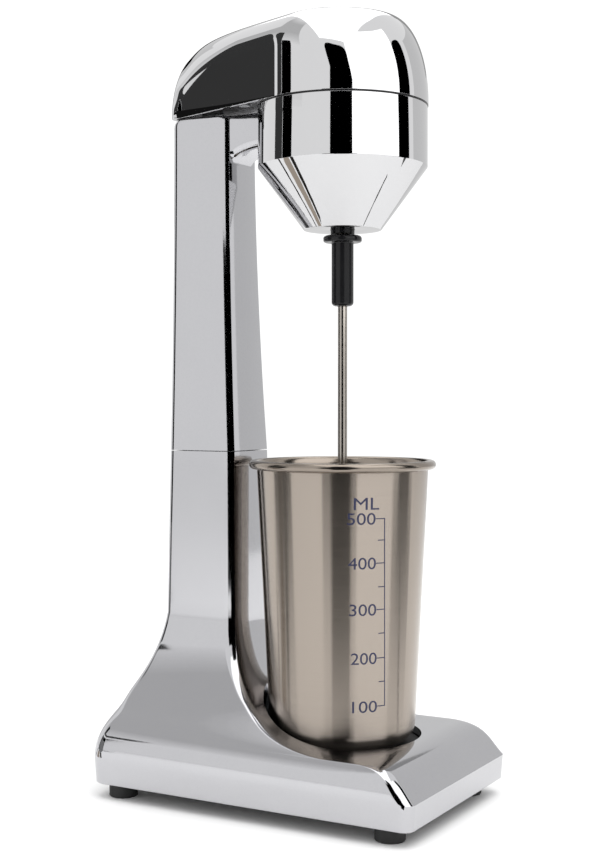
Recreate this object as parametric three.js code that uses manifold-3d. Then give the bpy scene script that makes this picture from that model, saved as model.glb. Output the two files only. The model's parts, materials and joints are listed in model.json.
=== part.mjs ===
// A bar milkshake mixer: a weighted base with a cup pocket, a column, a head that tips back on a
// pin, a motor that turns a long mixing rod, and a loose steel cup.
// All lengths are in millimetres. Heights are above the surface that the mixer stands on, z is up,
// and depths are measured from the spindle axis, with the front of the mixer at minus y.
import * as THREE from 'three';
import { mergeVertices } from 'three/addons/utils/BufferGeometryUtils.js';
import Module from 'manifold-3d';

const wasm = await Module();
wasm.setup();

// Clearances and cutting
const seatGap = 0.3;
const sideGap = 0.5;
const runGap = 0.6;
const holeGap = 0.3;
const overrun = 2;

// Base shell
const baseWidth = 112.2;
const pocketToFront = 24.55;
const columnToBaseRear = 22.6;
const footHeight = 7.5;
const bandTuck = 0.9;
const creaseHeight = 19.4;
const deckHeight = 34;
const deckBeforePocket = 0.65;
const deckBack = 22;
const flareTop = 88;
const baseFrontCorner = 6;
const baseRearCorner = 9.6;
const shellWall = 2.5;
const noseHandleShares = [[0.66, 1], [0.7, 0.43]];
const scoopHandleShares = [[1, 0.241], [0.394, 0.02]];
const sideFlareShares = [
  [0, 1], [0.027, 0.676], [0.42, 0.445], [0.6, 0.36], [0.8, 0.265], [1, 0.22], [1, 0],
];
const sharpCornerShare = 0.2;
const rearFlareShares = [
  [0, 1], [0.267, 0.559], [0.54, 0.521], [0.613, 0.385], [0.657, 0.3], [1, 0.181], [1, 0],
];

// Column
const seamHeight = 169.3;
const columnTop = 334.9;
const columnFootWidth = 38.4;
const columnSeamWidth = 35.8;
const columnTopWidth = 28.8;
const cupToColumn = 6.7;
const columnDepth = 37.7;
const footLean = 1.3;
const topLean = 5.3;
const rearFootLean = 1.4;
const columnCorner = 3.2;
const columnRearRound = 3.2;
const columnEasePower = 1.8;
const neckDrop = 23.4;
const neckRise = 7;
const neckGap = 1.2;

// Cup pocket, pad and cup
const pocketRoom = 3.45;
const pocketDepth = 5.5;
const padThickness = 1.2;
const cupFloorRadius = 34.8;
const cupTopRadius = 41.4;
const rimReach = 3.6;
const rimBead = 2.1;
const rimHeight = 163.8;
const cupWall = 1;
const cupFillet = 10;
const rimStartDegrees = -75;
const rimEndDegrees = 165;

// Feet, bottom plate and their screws
const plateThickness = 2;
const footRadius = 7;
const footChamfer = 1;
const footSideInset = 12.6;
const footFrontInset = 15.8;
const footRearInset = 13.2;
const bossRadius = 4;
const footScrewDepth = 9;

// Screws
const screwRadius = 1.5;
const screwHeadRadius = 2.7;
const screwHeadHeight = 1.6;
const smallScrewRadius = 1.25;
const smallHeadRadius = 2.1;

// Spine and hinge
const spineSheet = 2;
const spineSideRoom = 1.7;
const spineFrontRoom = 0.7;
const spineFootSpread = 12;
const spineFootThickness = 2.2;
const spineTabDepth = 13.8;
const spineScrewInset = 5;
const columnScrewInset = 4.7;
const columnScrewBack = 6;
const columnScrewLength = 7;
const hingeDrop = 7.6;
const hingeLugRadius = 4.6;
const hingeRearRoom = 2.5;
const hingePinRadius = 2.5;
const pinGrooveShare = 0.7;
const hingeArmFront = 4;
const hingeArmBack = 1;
const clipThickness = 0.8;
const clipRadius = 4.2;

// Head shells
const coverRadius = 41.2;
const coverTaperDegrees = 17.2;
const coverRearOverhang = 0.7;
const coverCorner = 4.5;
const coverWall = 2.2;
const headGap = 0.7;
const crestHeight = 41.2;
const crestRearHeight = 33.3;
const crestHandleShares = [[0.8, 0.8], [0.874, 0.97]];
const frontRoundDepth = 17.8;
const frontRoundHeight = 40;
const sideRoundDepth = 15;
const sideRoundHeight = 17;
const rearRoundDepth = 8;
const rearRoundHeight = 27.5;
const rearRoundCorner = 1.5;
const frontBlendDegrees = 40;
const rearBlendShare = 0.4;
const frontStartShare = 0.4;
const seamStep = 0.4;
const seamGap = 0.4;
const housingDepth = 29.2;
const coneDepth = 29.9;
const discRadius = 18.7;
const spigotHeight = 3;
const spigotLand = 4.5;

// Head frame
const frameRise = 3.4;
const frameThickness = 2.5;
const coverScrewBehindHousing = 3.2;
const coverScrewSideInset = 11.23;
const coverScrewBeforeHinge = 9.3;
const coverBossRadius = 3.6;
const coverBossBite = 8;
const housingBossRadius = 3;
const housingBossHeight = 16;
const housingScrewLength = 10;
const housingBossAngles = [90, 210, 330];

// Motor
const statorRoom = 1.6;
const coilWall = 5;
const coilDepth = 4.6;
const poleDepth = 1;
const brushToCoil = 0.6;
const coilHalfDegrees = 50;
const coilLegInsetDegrees = 7;
const coilOverhang = 4.2;
const coilLegWidth = 4.4;
const postRadius = 3.5;
const postInset = 3.5;
const bracketRim = 4;
const bracketThickness = 3;
const bracketBossRadius = 9;
const bracketBossHeight = 8.2;
const lowerBarHalfWidth = 8;
const lowerBarRoom = 3;
const bearingRadius = 6.5;
const bearingHeight = 7.5;
const bearingLip = 0.5;
const shaftRadius = 3;
const shaftGap = 0.2;
const armatureSlots = 12;
const armatureSlotDepth = 4;
const armatureSlotShare = 0.35;
const armatureRecess = 1;
const windingInset = 3.8;
const windingHeight = 3.3;
const commutatorRadius = 9;
const commutatorHeight = 8.6;
const brushWidth = 4;
const brushInset = 5.9;
const holderWall = 1.4;
const holderInset = 4.4;
const fanRadius = 16.5;
const fanRoom = 2.5;
const fanHubRadius = 6;
const fanHeight = 6;
const fanDisc = 1.2;
const fanBlades = 7;
const fanBladeThickness = 1.2;
const fanBladeDegrees = 20;
const sealRadius = 5.8;
const sealFlange = 8.5;
const sealFlangeThickness = 2;
const sealDrop = 2.1;

// Spindle below the head
const splashRadius = 9.3;
const splashThickness = 3.3;
const splashRound = 1.2;
const sleeveRadius = 5.3;
const sleeveLength = 30.6;
const sleeveRound = 2.4;
const rodRadius = 2.27;
const rodInsertion = 21;
const shaftInsertion = 10;
const agitatorLift = 9.7;
const agitatorRadius = 11.5;
const agitatorThickness = 1.6;
const agitatorWaves = 6;
const agitatorWaveShare = 0.16;
const agitatorHubRadius = 4.2;
const agitatorHubHeight = 7;

// Switch, gland and wiring in the column
const switchDrop = 73;
const switchSideRoom = 1.8;
const bezelHeight = 23;
const bezelThickness = 1.3;
const bezelWall = 1.8;
const switchDepth = 19;
const rockerGap = 0.4;
const rockerStroke = 1.4;
const rockerDepth = 7.5;
const rockerProud = 1.4;
const rockerDish = 1.3;
const rockerPinRadius = 1.1;
const rockerPinLength = 0.8;
const bladeThickness = 0.8;
const bladeHeight = 5;
const bladeLength = 5.5;
const rockerTiltDegrees = 10;
const glandHeight = 25;
const glandRadius = 4.9;
const glandFlange = 6.8;
const glandFlangeThickness = 1.4;
const glandBore = 3.5;
const glandLength = 8;
const terminalWidth = 18;
const terminalDepth = 8;
const terminalHeight = 12;
const leadRadius = 1.8;

// Counts that set how fine the round forms are
const cornerSteps = 4;
const noseSteps = 6;
const scoopSteps = 9;
const columnSteps = 4;
const neckSteps = 7;
const domeSteps = 5;
const frontArcSteps = 16;
const sideSteps = 5;
const flareLookupSteps = 40;
const coilArcSteps = 8;
const wavePoints = 6;
const cupFilletSteps = 4;
const rimSteps = 7;
const leadSides = 8;
const leadSteps = 28;
const fineSides = 42;
const plainSides = 20;
const smallSides = 10;

// Places worked out from the sizes above
const baseHalf = baseWidth / 2;
const cupRimRadius = cupTopRadius + rimReach;
const pocketRadius = cupFloorRadius + pocketRoom;
const columnFrontSeam = cupRimRadius + cupToColumn;
const columnFrontFoot = columnFrontSeam - footLean;
const columnFrontTop = columnFrontSeam + topLean;
const columnRear = columnFrontSeam + columnDepth;
const columnRearFoot = columnRear + rearFootLean;
const spindleToFront = pocketRadius + pocketToFront;
const spindleToRear = columnRear + columnToBaseRear;
const deckFront = pocketRadius + deckBeforePocket;
const spindleY = (spindleToFront - spindleToRear) / 2;
const pocketFloor = deckHeight - pocketDepth;
const padBottom = pocketFloor + seatGap;
const cupBottom = padBottom + padThickness + seatGap;
const plateBottom = footHeight + seatGap;
const plateTop = plateBottom + plateThickness;
const coverEdge = columnTop + headGap;
const coverRear = columnRear + coverRearOverhang;
const housingRadius = coverRadius - seamStep;
const housingTop = coverEdge - seamGap;
const coneTop = coverEdge - housingDepth;
const coneBottom = coneTop - coneDepth;
const frameBottom = coverEdge + frameRise;
const frameTop = frameBottom + frameThickness;
const hingeZ = columnTop - hingeDrop;
const hingeY = columnRear - shellWall - hingeLugRadius - hingeRearRoom;
const spineHalf = columnTopWidth / 2 - shellWall - spineSideRoom;
const spineInner = spineHalf - spineSheet;
const spineFront = columnFrontTop + shellWall + spineFrontRoom;
const spineRear = hingeY + hingeLugRadius;
const lugHalf = spineInner - seatGap - sideGap;
const columnScrewSpread = spineHalf - columnScrewInset;
const housingBossReach = coverRadius - coverWall - seamStep - housingBossRadius - seatGap;
const bracketRadius = housingBossReach - smallHeadRadius - runGap;
const frameHoleRadius = bracketRadius - bracketRim;
const statorRadius = frameHoleRadius - statorRoom;
const coilOuter = statorRadius - coilWall;
const coilInner = coilOuter - coilDepth;
const statorBore = coilInner - poleDepth;
const postOffset = statorRadius - postInset;
const bracketBottom = frameTop + seatGap;
const brushCentre = bracketBottom - seatGap - holderWall - seatGap - brushWidth / 2;
const holderBottom = brushCentre - brushWidth / 2 - seatGap - holderWall;
const sealBottom = coneBottom - sealDrop;
const sealFlangeBottom = coneBottom + coverWall + seatGap;
const fanBottom = sealFlangeBottom + sealFlangeThickness + fanRoom;
const fanTop = fanBottom + fanHeight;
const lowerBossBottom = fanTop + runGap;
const lowerBracketTop = lowerBossBottom + bracketBossHeight;
const statorBottom = lowerBracketTop + lowerBarRoom;
const statorTop = holderBottom - brushToCoil - coilOverhang;
const switchZ = columnTop - switchDrop;
const footScrewTip = plateTop + footScrewDepth;

// Geometry helpers
function signedVolume(position, index) {
  const a = new THREE.Vector3();
  const b = new THREE.Vector3();
  const c = new THREE.Vector3();
  let volume = 0;
  for (let i = 0; i < index.length; i += 3) {
    a.fromArray(position, index[i] * 3);
    b.fromArray(position, index[i + 1] * 3);
    c.fromArray(position, index[i + 2] * 3);
    volume += a.dot(b.cross(c));
  }
  return volume;
}

// Turns a three.js geometry into a closed solid, with its faces pointing out
function solid(geometry) {
  const bare = new THREE.BufferGeometry();
  bare.setAttribute('position', geometry.getAttribute('position').clone());
  bare.setIndex(geometry.getIndex());
  const merged = mergeVertices(bare);
  const position = merged.getAttribute('position').array;
  const source = merged.getIndex().array;
  const kept = [];
  for (let i = 0; i < source.length; i += 3) {
    const [a, b, c] = [source[i], source[i + 1], source[i + 2]];
    if (a !== b && b !== c && c !== a) kept.push(a, b, c);
  }
  if (signedVolume(position, kept) < 0) kept.reverse();
  const mesh = new wasm.Mesh({
    numProp: 3,
    vertProperties: Float32Array.from(position),
    triVerts: Uint32Array.from(kept),
  });
  return new wasm.Manifold(mesh);
}

function geometryOf(body) {
  const mesh = body.getMesh();
  const geometry = new THREE.BufferGeometry();
  geometry.setAttribute('position', new THREE.BufferAttribute(Float32Array.from(mesh.vertProperties), 3));
  geometry.setIndex(new THREE.BufferAttribute(Uint32Array.from(mesh.triVerts), 1));
  geometry.computeVertexNormals();
  return geometry;
}

function join(first, ...others) {
  return others.reduce((sum, other) => sum.add(other), first);
}

function cut(first, ...others) {
  return others.reduce((rest, other) => rest.subtract(other), first);
}

function block(x0, x1, y0, y1, z0, z1) {
  const geometry = new THREE.BoxGeometry(x1 - x0, y1 - y0, z1 - z0);
  geometry.translate((x0 + x1) / 2, (y0 + y1) / 2, (z0 + z1) / 2);
  return solid(geometry);
}

// A round bar along one axis; centre holds the two places across that axis
function bar(axis, radius, from, to, centre = [0, 0], sides = smallSides) {
  const geometry = new THREE.CylinderGeometry(radius, radius, to - from, sides);
  geometry.translate(0, (from + to) / 2, 0);
  if (axis === 'x') {
    geometry.rotateZ(-Math.PI / 2);
    geometry.translate(0, centre[0], centre[1]);
  } else if (axis === 'z') {
    geometry.rotateX(Math.PI / 2);
    geometry.translate(centre[0], centre[1], 0);
  } else {
    geometry.translate(centre[0], 0, centre[1]);
  }
  return solid(geometry);
}

// An upright hole for a round piece, run past both ends
function hole(radius, bottom, top, centre = [0, 0], sides = smallSides) {
  return bar('z', radius + holeGap, bottom - overrun, top + overrun, centre, sides);
}

// A hole along x for a round piece, run past both sides of a body of this half width
function crossHole(radius, half, centre) {
  return bar('x', radius + holeGap, -half - overrun, half + overrun, centre);
}

// A block between two distances from the middle plane, on one side of it
function sideBlock(side, near, far, y0, y1, z0, z1) {
  return block(Math.min(side * near, side * far), Math.max(side * near, side * far), y0, y1, z0, z1);
}

// A turned body about z; the profile is a list of [radius, height]
function turned(profile, sides = plainSides, centre = [0, 0]) {
  const points = profile.map(([r, z]) => new THREE.Vector2(Math.max(r, 0), z));
  const geometry = new THREE.LatheGeometry(points, sides);
  geometry.rotateX(Math.PI / 2);
  geometry.translate(centre[0], centre[1], 0);
  return solid(geometry);
}

// A turned ring, whose profile closes on itself
function ring(inner, outer, bottom, top, sides = plainSides, centre = [0, 0]) {
  const profile = [[inner, bottom], [outer, bottom], [outer, top], [inner, top], [inner, bottom]];
  return turned(profile, sides, centre);
}

function arcPoints(centreX, centreY, radius, fromDegrees, toDegrees, steps) {
  const points = [];
  for (let i = 0; i <= steps; i++) {
    const angle = THREE.MathUtils.degToRad(THREE.MathUtils.lerp(fromDegrees, toDegrees, i / steps));
    points.push([centreX + radius * Math.cos(angle), centreY + radius * Math.sin(angle)]);
  }
  return points;
}

function prism(points, bottom, top) {
  const shape = new THREE.Shape(points.map(([x, y]) => new THREE.Vector2(x, y)));
  const geometry = new THREE.ExtrudeGeometry(shape, { depth: top - bottom, bevelEnabled: false });
  geometry.translate(0, 0, bottom);
  return solid(geometry);
}

// A plate in the y-z plane, extruded from x0 to x1
function sidePlate(points, x0, x1) {
  const shape = new THREE.Shape(points.map(([y, z]) => new THREE.Vector2(y, z)));
  const geometry = new THREE.ExtrudeGeometry(shape, { depth: x1 - x0, bevelEnabled: false });
  geometry.rotateY(Math.PI / 2);
  geometry.rotateX(Math.PI / 2);
  geometry.translate(x0, 0, 0);
  return solid(geometry);
}

// Skins a stack of rings. Each ring is a half outline on the plus x side, from front to rear, of
// [x, y, z] points, and the other half is its mirror image.
function skin(halves) {
  const count = halves[0].length;
  const vertices = [];
  for (const half of halves) {
    half.forEach(([x, y, z]) => vertices.push(x, y, z));
    [...half].reverse().forEach(([x, y, z]) => vertices.push(-x, y, z));
  }
  const size = 2 * count;
  const index = [];
  for (let level = 0; level + 1 < halves.length; level++) {
    for (let i = 0; i < size; i++) {
      const a = level * size + i;
      const b = level * size + ((i + 1) % size);
      index.push(a, b, b + size, a, b + size, a + size);
    }
  }
  const last = (halves.length - 1) * size;
  for (let i = 0; i + 1 < count; i++) {
    const [right, next, left, nextLeft] = [i, i + 1, size - 1 - i, size - 2 - i];
    index.push(right, nextLeft, next, right, left, nextLeft);
    index.push(last + right, last + next, last + nextLeft, last + right, last + nextLeft, last + left);
  }
  const geometry = new THREE.BufferGeometry();
  geometry.setAttribute('position', new THREE.BufferAttribute(Float32Array.from(vertices), 3));
  geometry.setIndex(index);
  return solid(geometry);
}

// Half of a rectangle with rounded corners, from front to rear
function halfSection({ half, front, rear, corner, rearCorner = corner, z }) {
  const frontArc = arcPoints(half - corner, front + corner, corner, -90, 0, cornerSteps);
  const rearArc = arcPoints(half - rearCorner, rear - rearCorner, rearCorner, 0, 90, cornerSteps);
  return [...frontArc, ...rearArc].map(([x, y]) => [x, y, z]);
}

function insetCorner(corner, wall) {
  return Math.max(corner - wall, corner * sharpCornerShare);
}

function insetSection(section, wall, drop = 0) {
  return {
    half: section.half - wall,
    front: section.front + wall,
    rear: section.rear - wall,
    corner: insetCorner(section.corner, wall),
    rearCorner: insetCorner(section.rearCorner ?? section.corner, wall),
    z: section.z - drop,
  };
}

function cubic(points, steps) {
  const vectors = points.map(([x, y]) => new THREE.Vector2(x, y));
  return new THREE.CubicBezierCurve(...vectors).getPoints(steps);
}

// Reads the first coordinate of a falling outline at a height
function atHeight(outline, z) {
  for (let i = 0; i + 1 < outline.length; i++) {
    const [above, below] = [outline[i], outline[i + 1]];
    if (z <= above.y && z >= below.y && above.y > below.y) {
      return THREE.MathUtils.mapLinear(z, above.y, below.y, above.x, below.x);
    }
  }
  return z > outline[0].y ? outline[0].x : outline[outline.length - 1].x;
}

// Two cubic curves through seven shares, between a narrow place high up and a wide place at the crease
function flareOutline(shares, narrow, wide) {
  const points = shares.map(([across, up]) => [
    THREE.MathUtils.lerp(narrow, wide, across),
    THREE.MathUtils.lerp(creaseHeight, flareTop, up),
  ]);
  return [...cubic(points.slice(0, 4), flareLookupSteps), ...cubic(points.slice(3), flareLookupSteps)];
}

const sideFlare = flareOutline(sideFlareShares, columnFootWidth / 2, baseHalf);
const rearFlare = flareOutline(rearFlareShares, columnRearFoot, spindleToRear);

// Base shell and what it stands on
function baseSection(z, front) {
  const half = atHeight(sideFlare, z);
  const spread = (half - columnFootWidth / 2) / (baseHalf - columnFootWidth / 2);
  return {
    half,
    front,
    rear: atHeight(rearFlare, z),
    corner: THREE.MathUtils.lerp(columnCorner, baseFrontCorner, spread * spread),
    rearCorner: THREE.MathUtils.lerp(columnCorner, baseRearCorner, spread * spread),
    z,
  };
}

function bandSection(z) {
  const tuck = bandTuck * (creaseHeight - z) / (creaseHeight - footHeight);
  return {
    half: baseHalf - tuck,
    front: -spindleToFront + tuck,
    rear: spindleToRear - tuck,
    corner: baseFrontCorner - tuck,
    rearCorner: baseRearCorner - tuck,
    z,
  };
}

function noseCurve() {
  const handles = noseHandleShares.map(([across, up]) => [
    -THREE.MathUtils.lerp(deckFront, spindleToFront, across),
    THREE.MathUtils.lerp(creaseHeight, deckHeight, up),
  ]);
  const start = [-deckFront, deckHeight];
  const end = [-spindleToFront, creaseHeight];
  return cubic([start, ...handles, end], noseSteps).reverse();
}

function scoopCurve() {
  const handles = scoopHandleShares.map(([across, up]) => [
    THREE.MathUtils.lerp(-deckBack, columnFrontFoot, across),
    THREE.MathUtils.lerp(deckHeight, flareTop, up),
  ]);
  const start = [columnFrontFoot, flareTop];
  const end = [-deckBack, deckHeight];
  return cubic([start, ...handles, end], scoopSteps).reverse();
}

function baseShell() {
  const sections = [bandSection(footHeight), bandSection(creaseHeight)];
  noseCurve().slice(1).forEach((point) => sections.push(baseSection(point.y, point.x)));
  scoopCurve().forEach((point) => sections.push(baseSection(point.y, point.x)));
  const seam = {
    half: columnSeamWidth / 2,
    front: columnFrontSeam,
    rear: columnRear,
    corner: columnCorner,
    z: seamHeight,
  };
  sections.push(seam);
  const outer = skin(sections.map(halfSection));

  const hollow = sections.map((section) => insetSection(section, shellWall, shellWall));
  hollow[0] = insetSection(sections[0], shellWall, overrun);
  hollow.push({ ...insetSection(seam, shellWall), z: seamHeight + overrun });
  const middle = [0, 0];
  const wallRadius = pocketRadius + shellWall;
  const pocketWall = bar('z', wallRadius, pocketFloor - shellWall, flareTop, middle, fineSides);
  const cavity = cut(skin(hollow.map(halfSection)), pocketWall);
  const pocket = bar('z', pocketRadius, pocketFloor, flareTop, middle, fineSides);

  const bosses = [];
  const holes = [];
  for (const at of footPlaces()) {
    bosses.push(bar('z', bossRadius, plateTop + seatGap, flareTop, at).intersect(outer));
    holes.push(bar('z', screwRadius + holeGap, footHeight, footScrewTip + seatGap, at));
  }
  const glandAt = [0, glandHeight];
  const seatFace = spindleToRear - glandFlangeThickness - seatGap;
  const wallFace = seatFace - shellWall;
  const glandBoss = bar('y', glandFlange + shellWall, wallFace, spindleToRear, glandAt);
  const glandHole = bar('y', glandRadius + holeGap, wallFace - overrun, spindleToRear, glandAt);
  const glandSeat = bar('y', glandFlange + holeGap, seatFace, spindleToRear + overrun, glandAt);

  const shell = cut(outer, cavity);
  return cut(join(shell, ...bosses, glandBoss.intersect(outer)), pocket, glandHole, glandSeat, ...holes);
}

function footPlaces() {
  const side = baseHalf - footSideInset;
  const front = footFrontInset - spindleToFront;
  const rear = spindleToRear - footRearInset;
  return [[-side, front], [side, front], [-side, rear], [side, rear]];
}

function bottomPlate() {
  const outline = halfSection({ ...insetSection(bandSection(footHeight), shellWall + sideGap), z: 0 });
  const right = outline.map(([x, y]) => [x, y]);
  const left = [...right].reverse().map(([x, y]) => [-x, y]);
  const plate = prism([...right, ...left], plateBottom, plateTop);
  const places = [...footPlaces(), ...spineScrewPlaces()];
  const holes = places.map((at) => hole(screwRadius, plateBottom, plateTop, at));
  return cut(plate, ...holes);
}

function foot(at) {
  const shoulder = screwHeadHeight + 2 * seatGap + footChamfer;
  const profile = [
    [screwHeadRadius + holeGap, 0],
    [footRadius - footChamfer, 0],
    [footRadius, footChamfer],
    [footRadius, footHeight],
    [screwRadius + holeGap, footHeight],
    [screwRadius + holeGap, shoulder],
    [screwHeadRadius + holeGap, shoulder],
    [screwHeadRadius + holeGap, 0],
  ];
  return turned(profile, plainSides, at);
}

// A screw whose head is below its shank
function screwUp(at, seat, tip, radius = screwRadius, headRadius = screwHeadRadius) {
  const profile = [
    [0, seat - screwHeadHeight],
    [headRadius, seat - screwHeadHeight],
    [headRadius, seat],
    [radius, seat],
    [radius, tip],
    [0, tip],
  ];
  return turned(profile, smallSides, at);
}

// A screw whose head is above its shank
function screwDown(at, seat, tip, radius = screwRadius, headRadius = screwHeadRadius) {
  const profile = [
    [0, tip],
    [radius, tip],
    [radius, seat],
    [headRadius, seat],
    [headRadius, seat + screwHeadHeight],
    [0, seat + screwHeadHeight],
  ];
  return turned(profile, smallSides, at);
}

function cupPad() {
  return bar('z', pocketRadius - sideGap, padBottom, padBottom + padThickness, [0, 0], fineSides);
}

function cordGland() {
  const flangeBack = spindleToRear - glandFlangeThickness;
  const inside = flangeBack - glandLength;
  const at = [0, glandHeight];
  const flange = bar('y', glandFlange, flangeBack, spindleToRear, at);
  const tube = bar('y', glandRadius, inside, spindleToRear, at);
  const bore = bar('y', glandBore, inside - overrun, spindleToRear + overrun, at);
  return cut(join(flange, tube), bore);
}

// Column cover, spine and hinge parts
function columnSection(z) {
  const rise = (z - seamHeight) / (columnTop - seamHeight);
  const ease = Math.pow(Math.max(1 - rise, 0), columnEasePower);
  return {
    half: THREE.MathUtils.lerp(columnTopWidth, columnSeamWidth, ease) / 2,
    front: THREE.MathUtils.lerp(columnFrontTop, columnFrontSeam, ease),
    rear: columnRear,
    corner: columnCorner,
    z,
  };
}

function columnCover() {
  const bottom = seamHeight + seamGap;
  const neckStart = columnTop - neckDrop;
  const sections = [];
  for (let i = 0; i < columnSteps; i++) {
    sections.push(columnSection(THREE.MathUtils.lerp(bottom, neckStart, i / columnSteps)));
  }
  sections.push(columnSection(neckStart), columnSection(neckStart + neckRise));
  for (let i = 0; i <= cornerSteps; i++) {
    const angle = (Math.PI / 2) * (i / cornerSteps);
    const section = columnSection(columnTop - columnRearRound * (1 - Math.sin(angle)));
    section.rear = columnRear - columnRearRound * (1 - Math.cos(angle));
    sections.push(section);
  }
  const outer = join(skin(sections.map(halfSection)), neck(neckStart));

  const hollow = [];
  const ceiling = columnTop - shellWall;
  for (let i = 0; i <= columnSteps; i++) {
    const section = columnSection(THREE.MathUtils.lerp(bottom, ceiling, i / columnSteps));
    hollow.push(insetSection(section, shellWall));
  }
  hollow.unshift({ ...hollow[0], z: bottom - overrun });
  const housingRoom = bar('z', housingRadius + neckGap, bottom, columnTop + overrun, [0, 0], fineSides);
  const slotHalf = lugHalf + runGap;
  const slotFront = hingeY - hingeArmFront - runGap;
  const roof = columnTop + overrun;
  const slot = block(-slotHalf, slotHalf, slotFront, columnRear - shellWall, ceiling - overrun, roof);
  const screwHoles = columnScrewPlaces().map((at) => hole(screwRadius, ceiling, columnTop, at));
  const holeHalf = bezelWidth / 2 - bezelWall + holeGap;
  const holeRise = bezelHeight / 2 - bezelWall + holeGap;
  const wallFront = columnRear - shellWall - overrun;
  const wallRear = columnRear + overrun;
  const window = block(-holeHalf, holeHalf, wallFront, wallRear, switchZ - holeRise, switchZ + holeRise);
  return cut(outer, skin(hollow.map(halfSection)), housingRoom, slot, window, ...screwHoles);
}

// The web that reaches forward under the head, between the column's rounded front edges
function neck(bottom) {
  const front = housingRadius - columnCorner;
  const back = columnFrontTop + shellWall;
  const points = [[back, columnTop], [back, bottom]];
  for (let i = 0; i <= neckSteps; i++) {
    const angle = (Math.PI / 2) * (i / neckSteps);
    const y = THREE.MathUtils.lerp(front, columnFrontTop, Math.cos(angle));
    points.push([y, bottom + neckRise * Math.sin(angle)]);
  }
  points.push([front, columnTop]);
  const half = columnTopWidth / 2 - columnCorner;
  return sidePlate(points, -half, half);
}

function columnScrewPlaces() {
  return [-1, 1].map((side) => [side * columnScrewSpread, spineFront + columnScrewBack]);
}

function spineScrewPlaces() {
  const across = spineHalf + spineFootSpread - spineScrewInset;
  return [-1, 1].map((side) => [side * across, (spineFront + spineRear) / 2]);
}

// A folded steel channel, open to the rear, with a foot, a top tab and two ears for the hinge pin
function columnSpine() {
  const bottom = plateTop + seatGap;
  const top = columnTop - shellWall - seatGap;
  const web = block(-spineHalf, spineHalf, spineFront, spineFront + spineSheet, bottom, top);
  const earTop = Math.min(hingeZ + hingeLugRadius, top);
  const flanges = [-1, 1].map((side) => (
    sideBlock(side, spineInner, spineHalf, spineFront, spineRear, bottom, earTop)
  ));
  const footHalf = spineHalf + spineFootSpread;
  const footTop = bottom + spineFootThickness;
  const footPlate = block(-footHalf, footHalf, spineFront, spineRear, bottom, footTop);
  const tabRear = spineFront + spineTabDepth;
  const tab = block(-spineHalf, spineHalf, spineFront, tabRear, top - spineSheet, top);
  const pinHole = crossHole(hingePinRadius, spineHalf, [hingeY, hingeZ]);
  const footHoles = spineScrewPlaces().map((at) => hole(screwRadius, bottom, footTop, at));
  const tabHoles = columnScrewPlaces().map((at) => hole(screwRadius, top - spineSheet, top, at));
  return cut(join(web, ...flanges, footPlate, tab), pinHole, ...footHoles, ...tabHoles);
}

function hingePin() {
  const reach = spineHalf + seatGap + clipThickness;
  const groove = hingePinRadius * pinGrooveShare;
  const core = bar('x', groove, -reach, reach, [hingeY, hingeZ]);
  const land = bar('x', hingePinRadius, -spineHalf, spineHalf, [hingeY, hingeZ]);
  return join(core, land);
}

function pinClip(side) {
  const near = spineHalf + seatGap;
  const far = near + clipThickness;
  const [from, to] = [Math.min(side * near, side * far), Math.max(side * near, side * far)];
  const grooveRoom = hingePinRadius * pinGrooveShare + holeGap;
  const disc = bar('x', clipRadius, from, to, [hingeY, hingeZ]);
  const middle = bar('x', grooveRoom, from - overrun, to + overrun, [hingeY, hingeZ]);
  const [mouthFront, mouthRear] = [hingeY - grooveRoom / 2, hingeY + grooveRoom / 2];
  const below = hingeZ - clipRadius - overrun;
  return cut(disc, middle, block(from - overrun, to + overrun, mouthFront, mouthRear, below, hingeZ));
}

// Head cover: a rounded front and a tapering arm, with a crest line that falls to the rear
const taper = THREE.MathUtils.degToRad(coverTaperDegrees);
const crestFront = -(coverRadius - frontRoundDepth);
const crestRear = coverRear - rearRoundDepth;

function crestLine() {
  const handles = crestHandleShares.map(([along, up]) => [
    THREE.MathUtils.lerp(crestFront, crestRear, along),
    THREE.MathUtils.lerp(crestRearHeight, crestHeight, up),
  ]);
  return cubic([[crestFront, crestHeight], ...handles, [crestRear, crestRearHeight]], flareLookupSteps);
}
const crestPoints = crestLine();

// The crest's height at a depth; past its ends it runs on at its last slope
function crestAt(y) {
  const last = crestPoints.length - 1;
  let i = 0;
  while (i + 1 < last && y > crestPoints[i + 1].x) i++;
  const [a, b] = [crestPoints[i], crestPoints[i + 1]];
  return THREE.MathUtils.mapLinear(y, a.x, b.x, a.y, b.y);
}

function cornerCentre(radius, rear, corner) {
  const y = rear - corner;
  return [(radius - corner - Math.sin(taper) * y) / Math.cos(taper), y];
}

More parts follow.
